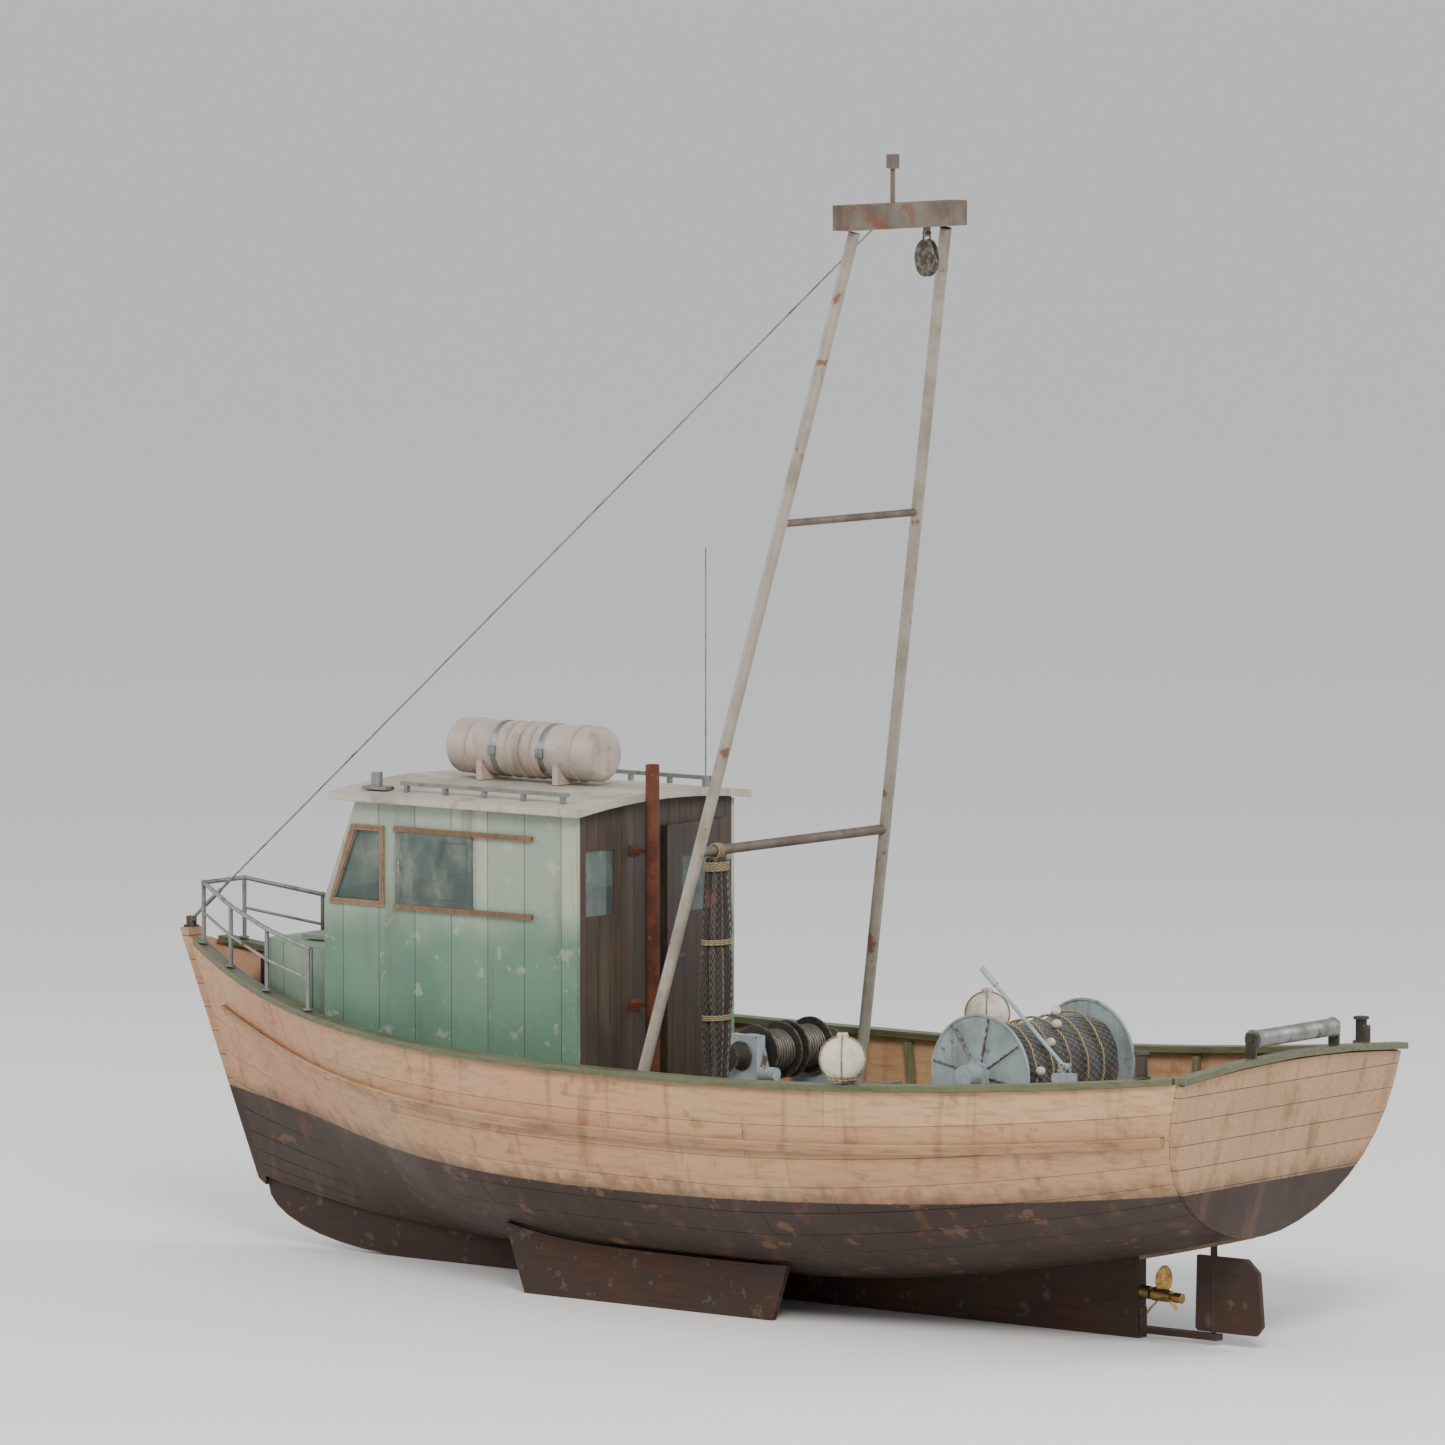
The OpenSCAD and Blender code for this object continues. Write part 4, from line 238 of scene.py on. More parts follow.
long, tall, wide = (0.35, 7, 7), (7, 7, 0.35), (7, 0.35, 7)  # the way the fibres run
tan, salmon, brown = (0.72, 0.57, 0.42), (0.74, 0.51, 0.41), (0.20, 0.13, 0.09)
bareWood = {"base": (0.46, 0.37, 0.28), "worn": (0.56, 0.50, 0.42), "bump": 0.6}
# Boards of the wheelhouse's aft face and door: dark brown wood, painted darker still as painted shade where the aft
# face lies in shadow
darkWoodAndShade = {"base": (0.20, 0.15, 0.11), "worn": (0.30, 0.23, 0.17), "grain": (tall, (0.10, 0.08, 0.06)),
          "boards": (1, 0.12, 0.005, (0.05, 0.04, 0.03)), "runs": ((0.34, 0.34, 0.28), 0.3),
          "edge": ((0.42, 0.34, 0.26), 0.7)}
finishes = {
    "hullPaint": {"base": tan, "worn": salmon, "patchScale": 0.75, "patchStretch": (1, 1, 0.6), "patches": 0.62,
                  "plank": (0.80, 0.66, 0.50), "line": (brown, 0.80, 0.26, (0.22, 0.17, 0.12)),
                  "runs": ((0.42, 0.27, 0.18), 0.42), "spots": ((0.50, 0.36, 0.25), 5.0, 0.5),
                  "rough": (0.42, 0.75), "bump": 0.45, "grain": ((0.6, 6, 6), (0.62, 0.44, 0.31))},
    "topsides": {"base": tan, "worn": (0.66, 0.53, 0.40), "patchScale": 1.1,
                 "grain": ((0.6, 6, 6), (0.58, 0.42, 0.30)),
                 "line": (brown, 0.80, 0.26, (0.22, 0.17, 0.12)), "runs": ((0.36, 0.25, 0.17), 0.5),
                 "boards": (2, 0.155, 0.004, (0.20, 0.14, 0.10)), "edge": ((0.42, 0.33, 0.25), 0.7)},
    "rubPaint": {"base": (0.70, 0.55, 0.40), "worn": (0.62, 0.47, 0.34), "grain": (long, (0.45, 0.33, 0.24)),
                 "edge": ((0.36, 0.27, 0.20), 0.9), "runs": ((0.33, 0.22, 0.15), 0.35)},
    "underwater": {"base": brown, "worn": (0.29, 0.17, 0.11), "spots": ((0.33, 0.31, 0.22), 9.0, 0.6),
                   "edge": ((0.35, 0.26, 0.19), 0.7), "rough": (0.7, 0.95), "grain": (long, (0.14, 0.10, 0.08))},
    "olivePaint": {"base": (0.33, 0.35, 0.23), "worn": (0.40, 0.40, 0.29), "grain": (long, (0.22, 0.23, 0.15)),
                   "edge": ((0.50, 0.42, 0.32), 0.95), "spots": ((0.46, 0.39, 0.29), 11.0, 0.55),
                   "rough": (0.35, 0.65)},
    "innerPaint": {"base": (0.44, 0.44, 0.33), "worn": (0.37, 0.36, 0.27), "grain": (tall, (0.30, 0.28, 0.20)),
                   "edge": ((0.47, 0.38, 0.28), 0.8), "runs": ((0.28, 0.21, 0.15), 0.45)},
    "housePaint": {"base": (0.39, 0.52, 0.43), "worn": (0.33, 0.46, 0.39), "patchScale": 2.0,
                   "upper": ((0.66, 0.68, 0.62), 2.15, 2.62), "runs": ((0.36, 0.33, 0.25), 0.45),
                   "spots": ((0.72, 0.73, 0.66), 7.0, 0.35), "edge": ((0.55, 0.46, 0.36), 0.8),
                   "boards": (0, 0.305, 0.004, (0.20, 0.25, 0.20)), "rough": (0.35, 0.7)},
    "trunkPaint": {"base": (0.42, 0.54, 0.45), "worn": (0.58, 0.62, 0.55), "runs": ((0.35, 0.32, 0.24), 0.4),
                   "edge": ((0.55, 0.46, 0.36), 0.8), "boards": (1, 0.14, 0.003, (0.20, 0.25, 0.20))},
    "roofPaint": {"base": (0.70, 0.68, 0.62), "worn": (0.60, 0.56, 0.50), "runs": ((0.45, 0.36, 0.28), 0.35),
                  "mottleScale": 90, "edge": ((0.50, 0.42, 0.33), 0.8), "spots": ((0.45, 0.42, 0.34), 6.0, 0.4)},
    "darkWoodAndShadeBoards": darkWoodAndShade,
    "doorBoards": {**darkWoodAndShade, "pane": ((-0.380, 0.159), (2.595, 0.184))},
    "joinery": {"base": (0.42, 0.30, 0.19), "worn": (0.50, 0.38, 0.26), "grain": (tall, (0.26, 0.17, 0.10)),
                "edge": ((0.56, 0.46, 0.34), 0.6), "coat": 0.25, "rough": (0.35, 0.55)},
    "deckBoards": {"base": (0.56, 0.52, 0.45), "worn": (0.46, 0.41, 0.34), "grain": (long, (0.34, 0.30, 0.25)),
                   "boards": (1, 0.098, 0.0035, (0.07, 0.065, 0.06)), "spots": ((0.33, 0.27, 0.21), 3.5, 0.4),
                   "rough": (0.65, 0.9), "bump": 0.7},
    "longWood": {**bareWood, "grain": (long, (0.27, 0.20, 0.14))},
    "crossWood": {**bareWood, "grain": (wide, (0.27, 0.20, 0.14))},
    "tallWood": {**bareWood, "grain": (tall, (0.27, 0.20, 0.14))},
    "galvanised": {"base": (0.55, 0.56, 0.55), "worn": (0.43, 0.43, 0.41), "patchScale": 9, "metal": 0.75,
                   "spots": ((0.42, 0.25, 0.15), 4.5, 0.75), "runs": ((0.45, 0.28, 0.18), 0.35),
                   "rough": (0.4, 0.65), "bump": 0.25, "depth": 0.0015},
    "gantryPaint": {"base": (0.60, 0.58, 0.53), "worn": (0.50, 0.46, 0.40), "patchScale": 3.5, "metal": 0.2,
                    "spots": ((0.44, 0.25, 0.15), 5.5, 0.85), "runs": ((0.40, 0.24, 0.15), 0.5),
                    "edge": ((0.36, 0.20, 0.12), 0.9), "rough": (0.45, 0.75), "bump": 0.3, "depth": 0.002},
    "beamPaint": {"base": (0.40, 0.35, 0.30), "worn": (0.32, 0.27, 0.22), "patchScale": 3.5, "metal": 0.2,
                  "spots": ((0.42, 0.23, 0.14), 5.5, 0.85), "runs": ((0.26, 0.18, 0.13), 0.5),
                  "edge": ((0.50, 0.44, 0.38), 0.7), "rough": (0.5, 0.8), "bump": 0.3, "depth": 0.002},
    "winchPaint": {"base": (0.60, 0.66, 0.67), "worn": (0.50, 0.54, 0.54), "patchScale": 4, "metal": 0.15,
                   "spots": ((0.40, 0.24, 0.15), 7.0, 0.85), "runs": ((0.38, 0.24, 0.16), 0.5),
                   "edge": ((0.33, 0.20, 0.13), 0.95), "bump": 0.3, "depth": 0.002},
    "darkSteel": {"base": (0.20, 0.19, 0.17), "worn": (0.28, 0.25, 0.21), "patchScale": 5, "metal": 0.45,
                  "spots": ((0.38, 0.21, 0.12), 8.0, 0.8), "edge": ((0.46, 0.42, 0.38), 0.8),
                  "bump": 0.35, "depth": 0.002},
    "bronze": {"base": (0.60, 0.47, 0.27), "worn": (0.40, 0.40, 0.28), "patchScale": 7, "metal": 0.9,
               "spots": ((0.28, 0.42, 0.35), 12.0, 0.6), "edge": ((0.80, 0.66, 0.40), 0.8),
               "rough": (0.3, 0.55), "bump": 0.2, "depth": 0.001},
    "rustySteel": {"base": (0.40, 0.21, 0.13), "worn": (0.27, 0.16, 0.11), "patchScale": 6, "metal": 0.2,
                   "spots": ((0.55, 0.31, 0.17), 14.0, 0.7), "rough": (0.7, 0.95), "bump": 0.6, "depth": 0.003},
    "engineEnamel": {"base": (0.22, 0.36, 0.29), "worn": (0.16, 0.25, 0.21), "patchScale": 5,
                     "spots": ((0.10, 0.08, 0.06), 9.0, 0.75), "edge": ((0.45, 0.42, 0.38), 0.8),
                     "coat": 0.3, "rough": (0.3, 0.6), "bump": 0.25, "depth": 0.0015},
    "canisterShell": {"base": (0.70, 0.64, 0.60), "worn": (0.61, 0.55, 0.51), "patchScale": 3, "rough": (0.4, 0.65),
                      "runs": ((0.42, 0.34, 0.29), 0.45), "spots": ((0.50, 0.44, 0.39), 12.0, 0.5),
                      "edge": ((0.55, 0.49, 0.44), 0.5), "bump": 0.2, "depth": 0.0015},
    "chalkyWhite": {"base": (0.82, 0.79, 0.73), "worn": (0.72, 0.67, 0.60), "patchScale": 4,
                    "runs": ((0.50, 0.42, 0.34), 0.35), "edge": ((0.62, 0.57, 0.50), 0.5),
                    "spots": ((0.58, 0.52, 0.44), 16.0, 0.5), "rough": (0.4, 0.65), "bump": 0.2, "depth": 0.0015},
}
madeFinishes = {name: finishOf(name, s) for name, s in finishes.items()}

def makeGlass():
    m = Shade("windowGlass")
    haze = m.noise(5, (1, 1, 0.6), 7)
    m.into("Base Color", m.paint(linear((0.52, 0.60, 0.57)), linear((0.74, 0.76, 0.72)),
                                 m.ease(haze, *shows["haze"])))
    m.into("Roughness", m.ease(haze, 0.35, 0.75, 0.38))
    m.into("Transmission Weight", 0.82)
    m.into("IOR", 1.45)
    return m.material

def makeTwine(name, dark, light, mesh=0.045):  # diamonds of knotted twine, from the piece's own UV map in metres
    m = Shade(name)
    u, v, _ = m.add("SeparateXYZ", {"Vector": m.add("UVMap", uv_map="cloth").outputs[0]}).outputs
    def strand(sign):
        turns = m.sum("DIVIDE", m.sum("MULTIPLY_ADD", v, sign * 0.6, u), mesh)
        return m.ease(m.sum("ABSOLUTE", m.sum("SUBTRACT", m.sum("FRACT", turns), 0.5)), 0.24, 0.46)
    first, second = strand(1.0), strand(-1.0)
    twine = m.sum("MAXIMUM", first, second)
    knot = m.sum("MULTIPLY", first, second)
    age = m.noise(3.0, (1, 1, 0.6), 7)
    cord = m.paint(linear(light), linear((0.36, 0.33, 0.26)), m.ease(age, 0.45, 0.7, 0.8))
    # the twine takes the cord colour and the gaps between it keep the dark colour: painted shade of the net's deeper
    # layers
    colour = m.paint(linear(dark), cord, m.sum("MULTIPLY", twine, m.noise(60)))
    m.into("Base Color", m.paint(colour, linear((0.42, 0.24, 0.15)), m.ease(m.noise(5.5), 0.60, 0.72, 0.6)))
    m.into("Roughness", m.ease(twine, -1.5, 1.0, 0.95))
    m.into("Sheen Weight", 0.25)
    height = m.sum("ADD", m.sum("MULTIPLY", twine, 0.7), m.sum("MULTIPLY", knot, 0.6))
    m.into("Normal", m.add("Bump", {"Height": height, "Strength": 0.9, "Distance": 0.006}).outputs["Normal"])
    return m.material

def makeLay(name, base, dark, twist, metal, rough):  # strands laid round a rope or wire, from its own UV map
    m = Shade(name)
    along, round_, _ = m.add("SeparateXYZ", {"Vector": m.add("UVMap", uv_map="cloth").outputs[0]}).outputs
    turns = m.sum("FRACT", m.sum("MULTIPLY_ADD", along, twist, m.sum("MULTIPLY", round_, 3.0)))
    strand = m.ease(m.sum("ABSOLUTE", m.sum("SUBTRACT", turns, 0.5)), 0.5, 0.15)
    # the grooves between the strands take the dark colour: painted shade in the lay
    colour = m.paint(linear(dark), linear(base), strand)
    m.into("Base Color", m.paint(colour, linear((0.34, 0.24, 0.17)), m.ease(m.noise(9, detail=7), 0.5, 0.72, 0.6)))
    m.into("Roughness", m.ease(m.noise(30), -0.6, 1.2, rough))
    m.into("Metallic", metal)
    m.into("Normal", m.add("Bump", {"Height": strand, "Strength": 0.8, "Distance": 0.003}).outputs["Normal"])
    return m.material

madeFinishes["windowGlass"] = makeGlass()
madeFinishes["netTwine"] = makeTwine("netTwine", (0.07, 0.075, 0.065), (0.21, 0.22, 0.18))
madeFinishes["hungTwine"] = makeTwine("hungTwine", (0.085, 0.065, 0.050), (0.30, 0.225, 0.16), 0.03)
madeFinishes["rope"] = makeLay("rope", (0.60, 0.53, 0.40), (0.30, 0.25, 0.18), 28.0, 0.0, 1.0)
madeFinishes["wire"] = makeLay("wire", (0.42, 0.40, 0.37), (0.16, 0.14, 0.12), 40.0, 0.6, 0.8)
print("materials made:", len(madeFinishes))

wearing = {
    "topsides": ["stem", "transom"],
    "rubPaint": ["rub_rails"],
    "underwater": ["keel", "bilge_keels", "skeg_shoe", "rudder"],
    "olivePaint": ["cap_rail", "fish_hatch_coaming"],
    "innerPaint": ["bulwark_stanchions", "frames", "fish_hatch_cover"],
    "housePaint": ["wheelhouse_sides", "wheelhouse_front"],
    "trunkPaint": ["trunk_cabin", "fore_hatch"],
    "roofPaint": ["wheelhouse_roof"],
    # the aft face and the door wear the dark boards with their painted shade
    "darkWoodAndShadeBoards": ["wheelhouse_aft"],
    "doorBoards": ["door"],
    "joinery": ["window_frames", "helm_console"],
    "deckBoards": ["main_deck", "foredeck"],
    "longWood": ["hog_and_horn_timber"],
    "crossWood": ["deck_beams", "floors_and_bearers"],
    "tallWood": ["bulkheads"],
    "galvanised": ["pulpit", "roof_fittings", "door_hinges", "steering_wheel", "throttle_lever", "stern_roller",
                   "forestay", "tiller_arm"],
    "gantryPaint": ["gantry_legs"],
    "beamPaint": ["gantry_beams"],
    "winchPaint": ["winch_frame", "net_drum_stands", "control_lever"],
    "darkSteel": ["deck_fittings", "hauling_block", "block_sheave", "winch_drums", "gearbox", "rudder_tube"],
    "bronze": ["propeller", "propeller_shaft", "stern_tube"],
    "rustySteel": ["exhaust_stack"],
    "engineEnamel": ["engine"],
    "canisterShell": ["liferaft"],
    "chalkyWhite": ["fuel_tank"],
    "windowGlass": ["window_glass", "sliding_window"],
}
for finish, names in wearing.items():
    for name in names:
        for holder in nodes[name].material_slots:
            holder.material = madeFinishes[finish]

# Meshes from numpy grids

def gridFaces(rows, across, closed):  # quads between neighbouring rows of a grid, wrapped round when closed
    i, j = np.meshgrid(np.arange(rows - 1), np.arange(across if closed else across - 1), indexing="ij")
    k = (j + 1) % across
    return np.stack([i * across + j, i * across + k, (i + 1) * across + k, (i + 1) * across + j], -1).reshape(-1, 4)

# A closed solid: rings of points joined in order, with a flat face at each end; turned so faces look outwards
def tubeSolid(points):
    rows, across = points.shape[:2]
    flat = points.reshape(-1, 3)
    faces = gridFaces(rows, across, True)
    a, b, c, d = (flat[faces[:, n]] - flat.mean(0) for n in range(4))
    volume = np.einsum("ij,ij->", a, np.cross(b, c)) + np.einsum("ij,ij->", a, np.cross(c, d))
    ends = [np.arange(across)[::-1], (rows - 1) * across + np.arange(across)]
    if volume < 0:
        faces, ends = faces[:, ::-1], [e[::-1] for e in ends]
    return flat, [list(map(int, f)) for f in faces] + [list(map(int, e)) for e in ends]

# A closed ring: a grid wrapped both ways, turned so that faces look outwards
def ringSolid(points):
    rows, across = points.shape[:2]
    faces = gridFaces(rows + 1, across, True) % (rows * across)
    flat = points.reshape(-1, 3)
    a, b, c, d = (flat[faces[:, n]] - flat.mean(0) for n in range(4))
    volume = np.einsum("ij,ij->", a, np.cross(b, c)) + np.einsum("ij,ij->", a, np.cross(c, d))
    return flat, [list(map(int, f)) for f in (faces if volume > 0 else faces[:, ::-1])]

# Joins the solids' points and faces into one mesh, shades it smooth up to an angle, and rides it on a body
def makePiece(name, solids, finish, body, tones=None, smooth=35.0, uvs=None):
    starts = np.cumsum([0] + [len(p) for p, _ in solids])
    points = np.concatenate([p for p, _ in solids])
    faces = [[n + start for n in f] for start, (_, fs) in zip(starts, solids) for f in fs]
    data = bpy.data.meshes.new(name)
    data.from_pydata(points, [], faces)
    data.polygons.foreach_set("use_smooth", np.ones(len(faces), bool))
    data.set_sharp_from_angle(angle=math.radians(smooth))
    if tones is not None:
        data.attributes.new("plank", "FLOAT", "POINT").data.foreach_set("value", tones.astype(np.float32))
    if uvs is not None:
        corner = np.zeros(len(data.loops), np.int32)
        data.loops.foreach_get("vertex_index", corner)
        data.uv_layers.new(name="cloth").data.foreach_set("uv", uvs[corner].astype(np.float32).ravel())
    piece = bpy.data.objects.new(name, data)
    bpy.context.scene.collection.objects.link(piece)
    data.materials.append(madeFinishes[finish])
    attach(piece, body)
    return piece

# A round section carried along a path: the tangent's two normals turned round it. Returns a solid and its UVs
def ropeAlong(path, radius, closed=False, sides=10):
    path = np.array(path, float)
    ahead = (np.roll(path, -1, 0) - np.roll(path, 1, 0)) if closed else np.gradient(path, axis=0)
    ahead /= np.linalg.norm(ahead, axis=1, keepdims=True)
    guide = np.array([0.13, 0.21, 0.97]) if abs(ahead[:, 2]).mean() < 0.8 else np.array([0.97, 0.21, 0.13])
    side = np.cross(ahead, guide)
    side /= np.linalg.norm(side, axis=1, keepdims=True)
    up = np.cross(side, ahead)
    turn = np.linspace(0, 2 * np.pi, sides, endpoint=False)
    points = path[:, None] + radius * (side[:, None] * np.cos(turn)[:, None] + up[:, None] * np.sin(turn)[:, None])
    gone = np.concatenate([[0], np.cumsum(np.linalg.norm(np.diff(path, axis=0), axis=1))])
    uv = np.stack(np.broadcast_arrays(gone[:, None], turn[None] / 2 / np.pi), -1).reshape(-1, 2)
    return (ringSolid(points) if closed else tubeSolid(points)), uv

# Hull planking: the same surface as the frames and keel were cut to

hull = {"length": 8.92, "halfBeam": 1.44, "transomHalf": 1.18, "widest": 0.46, "lowPoint": 0.42, "sheerLow": 1.55,
        "sternRise": 0.24, "bowRise": 0.46, "keelDepth": 0.20, "keelHalf": 0.044, "plank": 0.028,
        "rabbetGap": (0.004, 0.003), "rabbetFrom": 0.5, "rabbetOver": 0.25,  # clearance at the keel and at the stem
        "narrowing": (2, 2.3), "sheerSweep": (1.8, 3.2),  # powers towards the stern and the bow
        "run": (0.52, 0.4, 1.6), "entry": (0.25, 0.72, 2),  # rise of the rabbet, where along the hull, its power
        "bend": (2.6, 3.0, 1.05), "swell": (1.7, 1.9, 1.0),  # the section's powers at the stern, middle and bow
        "middleOver": 0.4, "bowFrom": 0.55, "bowOver": 0.4,
        "heel": (-0.472, 0.42), "headShift": 0.04, "stemGap": 0.004, "probe": 0.002}
planking = {"strakes": 10, "seam": 0.004, "bevel": 0.003, "caulk": 0.007, "stations": 28, "perStation": 3,
            "girth": 2.2, "crowding": 1.8, "butts": (8, 18), "seeds": {1: 7, -1: 8}, "smooth": 25}

def ease(t):
    t = np.clip(t, 0, 1)
    return t * t * (3 - 2 * t)

def between(a, b, t):
    return a + (b - a) * t

def power(value, exponent):
    return np.maximum(value, 0) ** exponent

# Ends raked by mixing heel and head; breadth is the rabbet's plus a share (1-(1-h)^bend)^(1/swell) of the flare
def hullPoint(u, h):
    s, w, low = hull, hull["widest"], hull["lowPoint"]
    rabbet = between(s["keelHalf"] + s["rabbetGap"][0], s["keelHalf"] + s["plank"] + s["rabbetGap"][1],
                     ease((u - s["rabbetFrom"]) / s["rabbetOver"]))
    sternPower, bowPower = s["narrowing"]
    sheerHalf = np.where(u < w, s["halfBeam"] - (s["halfBeam"] - s["transomHalf"]) * power((w - u) / w, sternPower),
                         s["halfBeam"] - (s["halfBeam"] - rabbet) * power((u - w) / (1 - w), bowPower))
    sternPower, bowPower = s["sheerSweep"]
    sheer = (s["sheerLow"] + s["sternRise"] * power((low - u) / low, sternPower)
             + s["bowRise"] * power((u - low) / (1 - low), bowPower))
    (runRise, runEnd, runPower), (entryRise, entryStart, entryPower) = s["run"], s["entry"]
    foot = (s["keelDepth"] + runRise * power((runEnd - u) / runEnd, runPower)
            + entryRise * power((u - entryStart) / (1 - entryStart), entryPower))
    middle, bow = ease(u / s["middleOver"]), ease((u - s["bowFrom"]) / s["bowOver"])
    bend, swell = (between(between(a, b, middle), c, bow) for a, b, c in (s["bend"], s["swell"]))
    out = rabbet + (sheerHalf - rabbet) * power(1 - power(1 - h, bend), 1 / swell)
    half, shift = s["length"] / 2, s["headShift"]
    heel = between(s["heel"][0] * s["length"] - shift, s["heel"][1] * s["length"] + s["stemGap"], u)
    head = between(-half - shift, half - shift, u)
    return np.stack([between(heel, head, h), out, between(foot, sheer, h)], -1)

def hullSkin(u, h, depth):  # the hull point moved in along the section's normal
    probe = hull["probe"]
    step = hullPoint(u, np.minimum(h + probe, 1)) - hullPoint(u, np.maximum(h - probe, 0))
    size = np.hypot(step[..., 1], step[..., 2])
    inward = np.stack([0 * size, -step[..., 2] / size, step[..., 1] / size], -1)
    return hullPoint(u, h) + np.asarray(depth)[..., None] * inward

# Each plank is a ring of girth shares and depths carried along the stations: a V groove outside, closed behind it
def makePlanking(side, name, node):
    s, thick = planking, hull["plank"]
    draw = np.random.default_rng(s["seeds"][side])
    lip, gap = s["bevel"] / s["girth"], s["seam"] / 2 / s["girth"]
    buttGap = s["seam"] / 2 / hull["length"]
    solids, tones = [], []
    for k in range(s["strakes"]):
        foot, head = k / s["strakes"], (k + 1) / s["strakes"]
        low = foot + (gap if k else 0)
        high = head - (gap if k < s["strakes"] - 1 else 0)
        share = np.array([low, low + lip, between(low, high, 0.33), between(low, high, 0.67), high - lip, high,
                          head, head, foot, foot])
        depth = np.array([s["bevel"], 0, 0, 0, 0, s["bevel"], s["caulk"], thick, thick, s["caulk"]])
        butts = [0, s["butts"][0] + k % 3, s["butts"][1] + (k + 1) % 3, s["stations"]]
        for first, last in zip(butts, butts[1:]):
            u = np.linspace(first / s["stations"] + (buttGap if first else 0),
                            last / s["stations"] - (buttGap if last < s["stations"] else 0),
                            (last - first) * s["perStation"] + 1)[:, None]
            points = hullSkin(u + 0 * share, share ** s["crowding"] + 0 * u, depth + 0 * u)
            points[..., 1] *= side
            solids.append(tubeSolid(points))
            tones.append(np.full(len(solids[-1][0]), draw.random()))
    piece = makePiece(name, solids, "hullPaint", "hull", np.concatenate(tones), s["smooth"])
    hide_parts(node)

makePlanking(1, "port_strakes", "port_planking")
makePlanking(-1, "starboard_strakes", "starboard_planking")
print("planking made")

# Net drum: spool, the net wound on it, its head rope and floats

# A closed profile of (radius, place along the axis) carried round the axis; ripple(turn, along, radius) adds to
# the radius
def axisTurned(profile, centre, axis, steps=72, ripple=None):
    turn = np.linspace(0, 2 * np.pi, steps, endpoint=False)[:, None]
    radius, along = np.array(profile, float).T
    radius = radius + (ripple(turn, along, radius) if ripple else 0 * turn)
    along = along + 0 * turn
    order = {0: (2, 0, 1), 1: (0, 2, 1), 2: (0, 1, 2)}[axis]
    parts = (radius * np.cos(turn), radius * np.sin(turn), along)
    return ringSolid(np.stack([parts[n] for n in order], -1) + np.array(centre, float))

def mirrored(half):  # a closed profile from its half at positive places along the axis
    return [(radius, -along) for radius, along in half] + [(radius, along) for radius, along in half[::-1]]

# A block with its long edges cut back, as a ring of eight points carried from end to end
def boxSolid(low, high, soft=0.002):
    (x0, y0, z0), (x1, y1, z1) = np.array(low, float), np.array(high, float)
    ring = np.array([(y0 + soft, z0), (y1 - soft, z0), (y1, z0 + soft), (y1, z1 - soft), (y1 - soft, z1),
                     (y0 + soft, z1), (y0, z1 - soft), (y0, z0 + soft)])
    ends = np.array([x0, x1])
    return tubeSolid(np.stack([ends[:, None] + 0 * ring[:, 0], ring[:, 0] + 0 * ends[:, None],
                               ring[:, 1] + 0 * ends[:, None]], -1))

# A closed oval float: circles whose radius follows the sine from pole to pole, with a small hole through it
def egg(centre, size, hole=0.10, stretch=1.15, steps=20):
    fall = np.linspace(hole, np.pi - hole, 12)
    return axisTurned([(size * np.sin(f), -stretch * size * np.cos(f)) for f in fall], centre, 1, steps)

spool = {"half": 0.560, "ribs": 8, "ribStart": 0.25,
         "ribLow": (0.074, -0.005, 0.005), "ribHigh": (0.358, 0.005, 0.022),
         # half sections: radius, place along the axis
         "flange": [(0.034, 0.030), (0.070, 0.030), (0.076, 0.006), (0.360, 0.006), (0.366, 0.012), (0.378, 0.012),
                    (0.380, 0.009)],
         "shaft": [(0.020, 0.669), (0.030, 0.669), (0.032, 0.667)], "barrel": [(0.165, 0.552), (0.178, 0.552)]}
wound = {"inner": 0.186, "turns": 7, "pitch": 0.0155, "cloth": 0.010, "width": 1.08, "perTurn": 54, "across": 42,
         "edgeDrop": 0.010, "edgePower": 6,
         "waves": ((0.0050, 3, 9, 0), (0.0035, 5, -14, 1), (0.0030, 2, 23, 0), (0.0022, 11, 31, 0))}
headRope = {"start": 0.3, "turns": 4.6, "from": -0.43, "to": 0.40, "sway": 0.012, "swayTurns": 3, "points": 260,
            "depth": 0.35, "lift": 0.013, "radius": 0.008, "floats": 9, "firstFloat": 8, "lastFloat": 250,
            "floatSize": 0.030, "floatLift": 0.028}

def makeSpool(s, centre):
    solids = [axisTurned(mirrored(s["shaft"]), centre, 1, 48), axisTurned(mirrored(s["barrel"]), centre, 1, 64)]
    for side in (-1, 1):
        solids.append(axisTurned(mirrored(s["flange"]), centre + (0, side * s["half"], 0), 1, 96))
        for n in range(s["ribs"]):
            turn = 2 * np.pi * (n + s["ribStart"]) / s["ribs"]
            points, faces = boxSolid(s["ribLow"], s["ribHigh"])
            out, across, proud = points.T
            points = np.stack([out * np.cos(turn) - across * np.sin(turn), side * (s["half"] + proud),
                               out * np.sin(turn) + across * np.cos(turn)], -1) + centre
            solids.append((points, [f[::-1] for f in faces] if side > 0 else faces))
    return makePiece("net_drum_spool", solids, "winchPaint", "drum")

def bulge(turn, along):  # the roll's lumps: a few sine waves round it and along it
    return sum(height * np.sin(round_ * turn + lengthwise * along + phase)
               for height, round_, lengthwise, phase in wound["waves"])

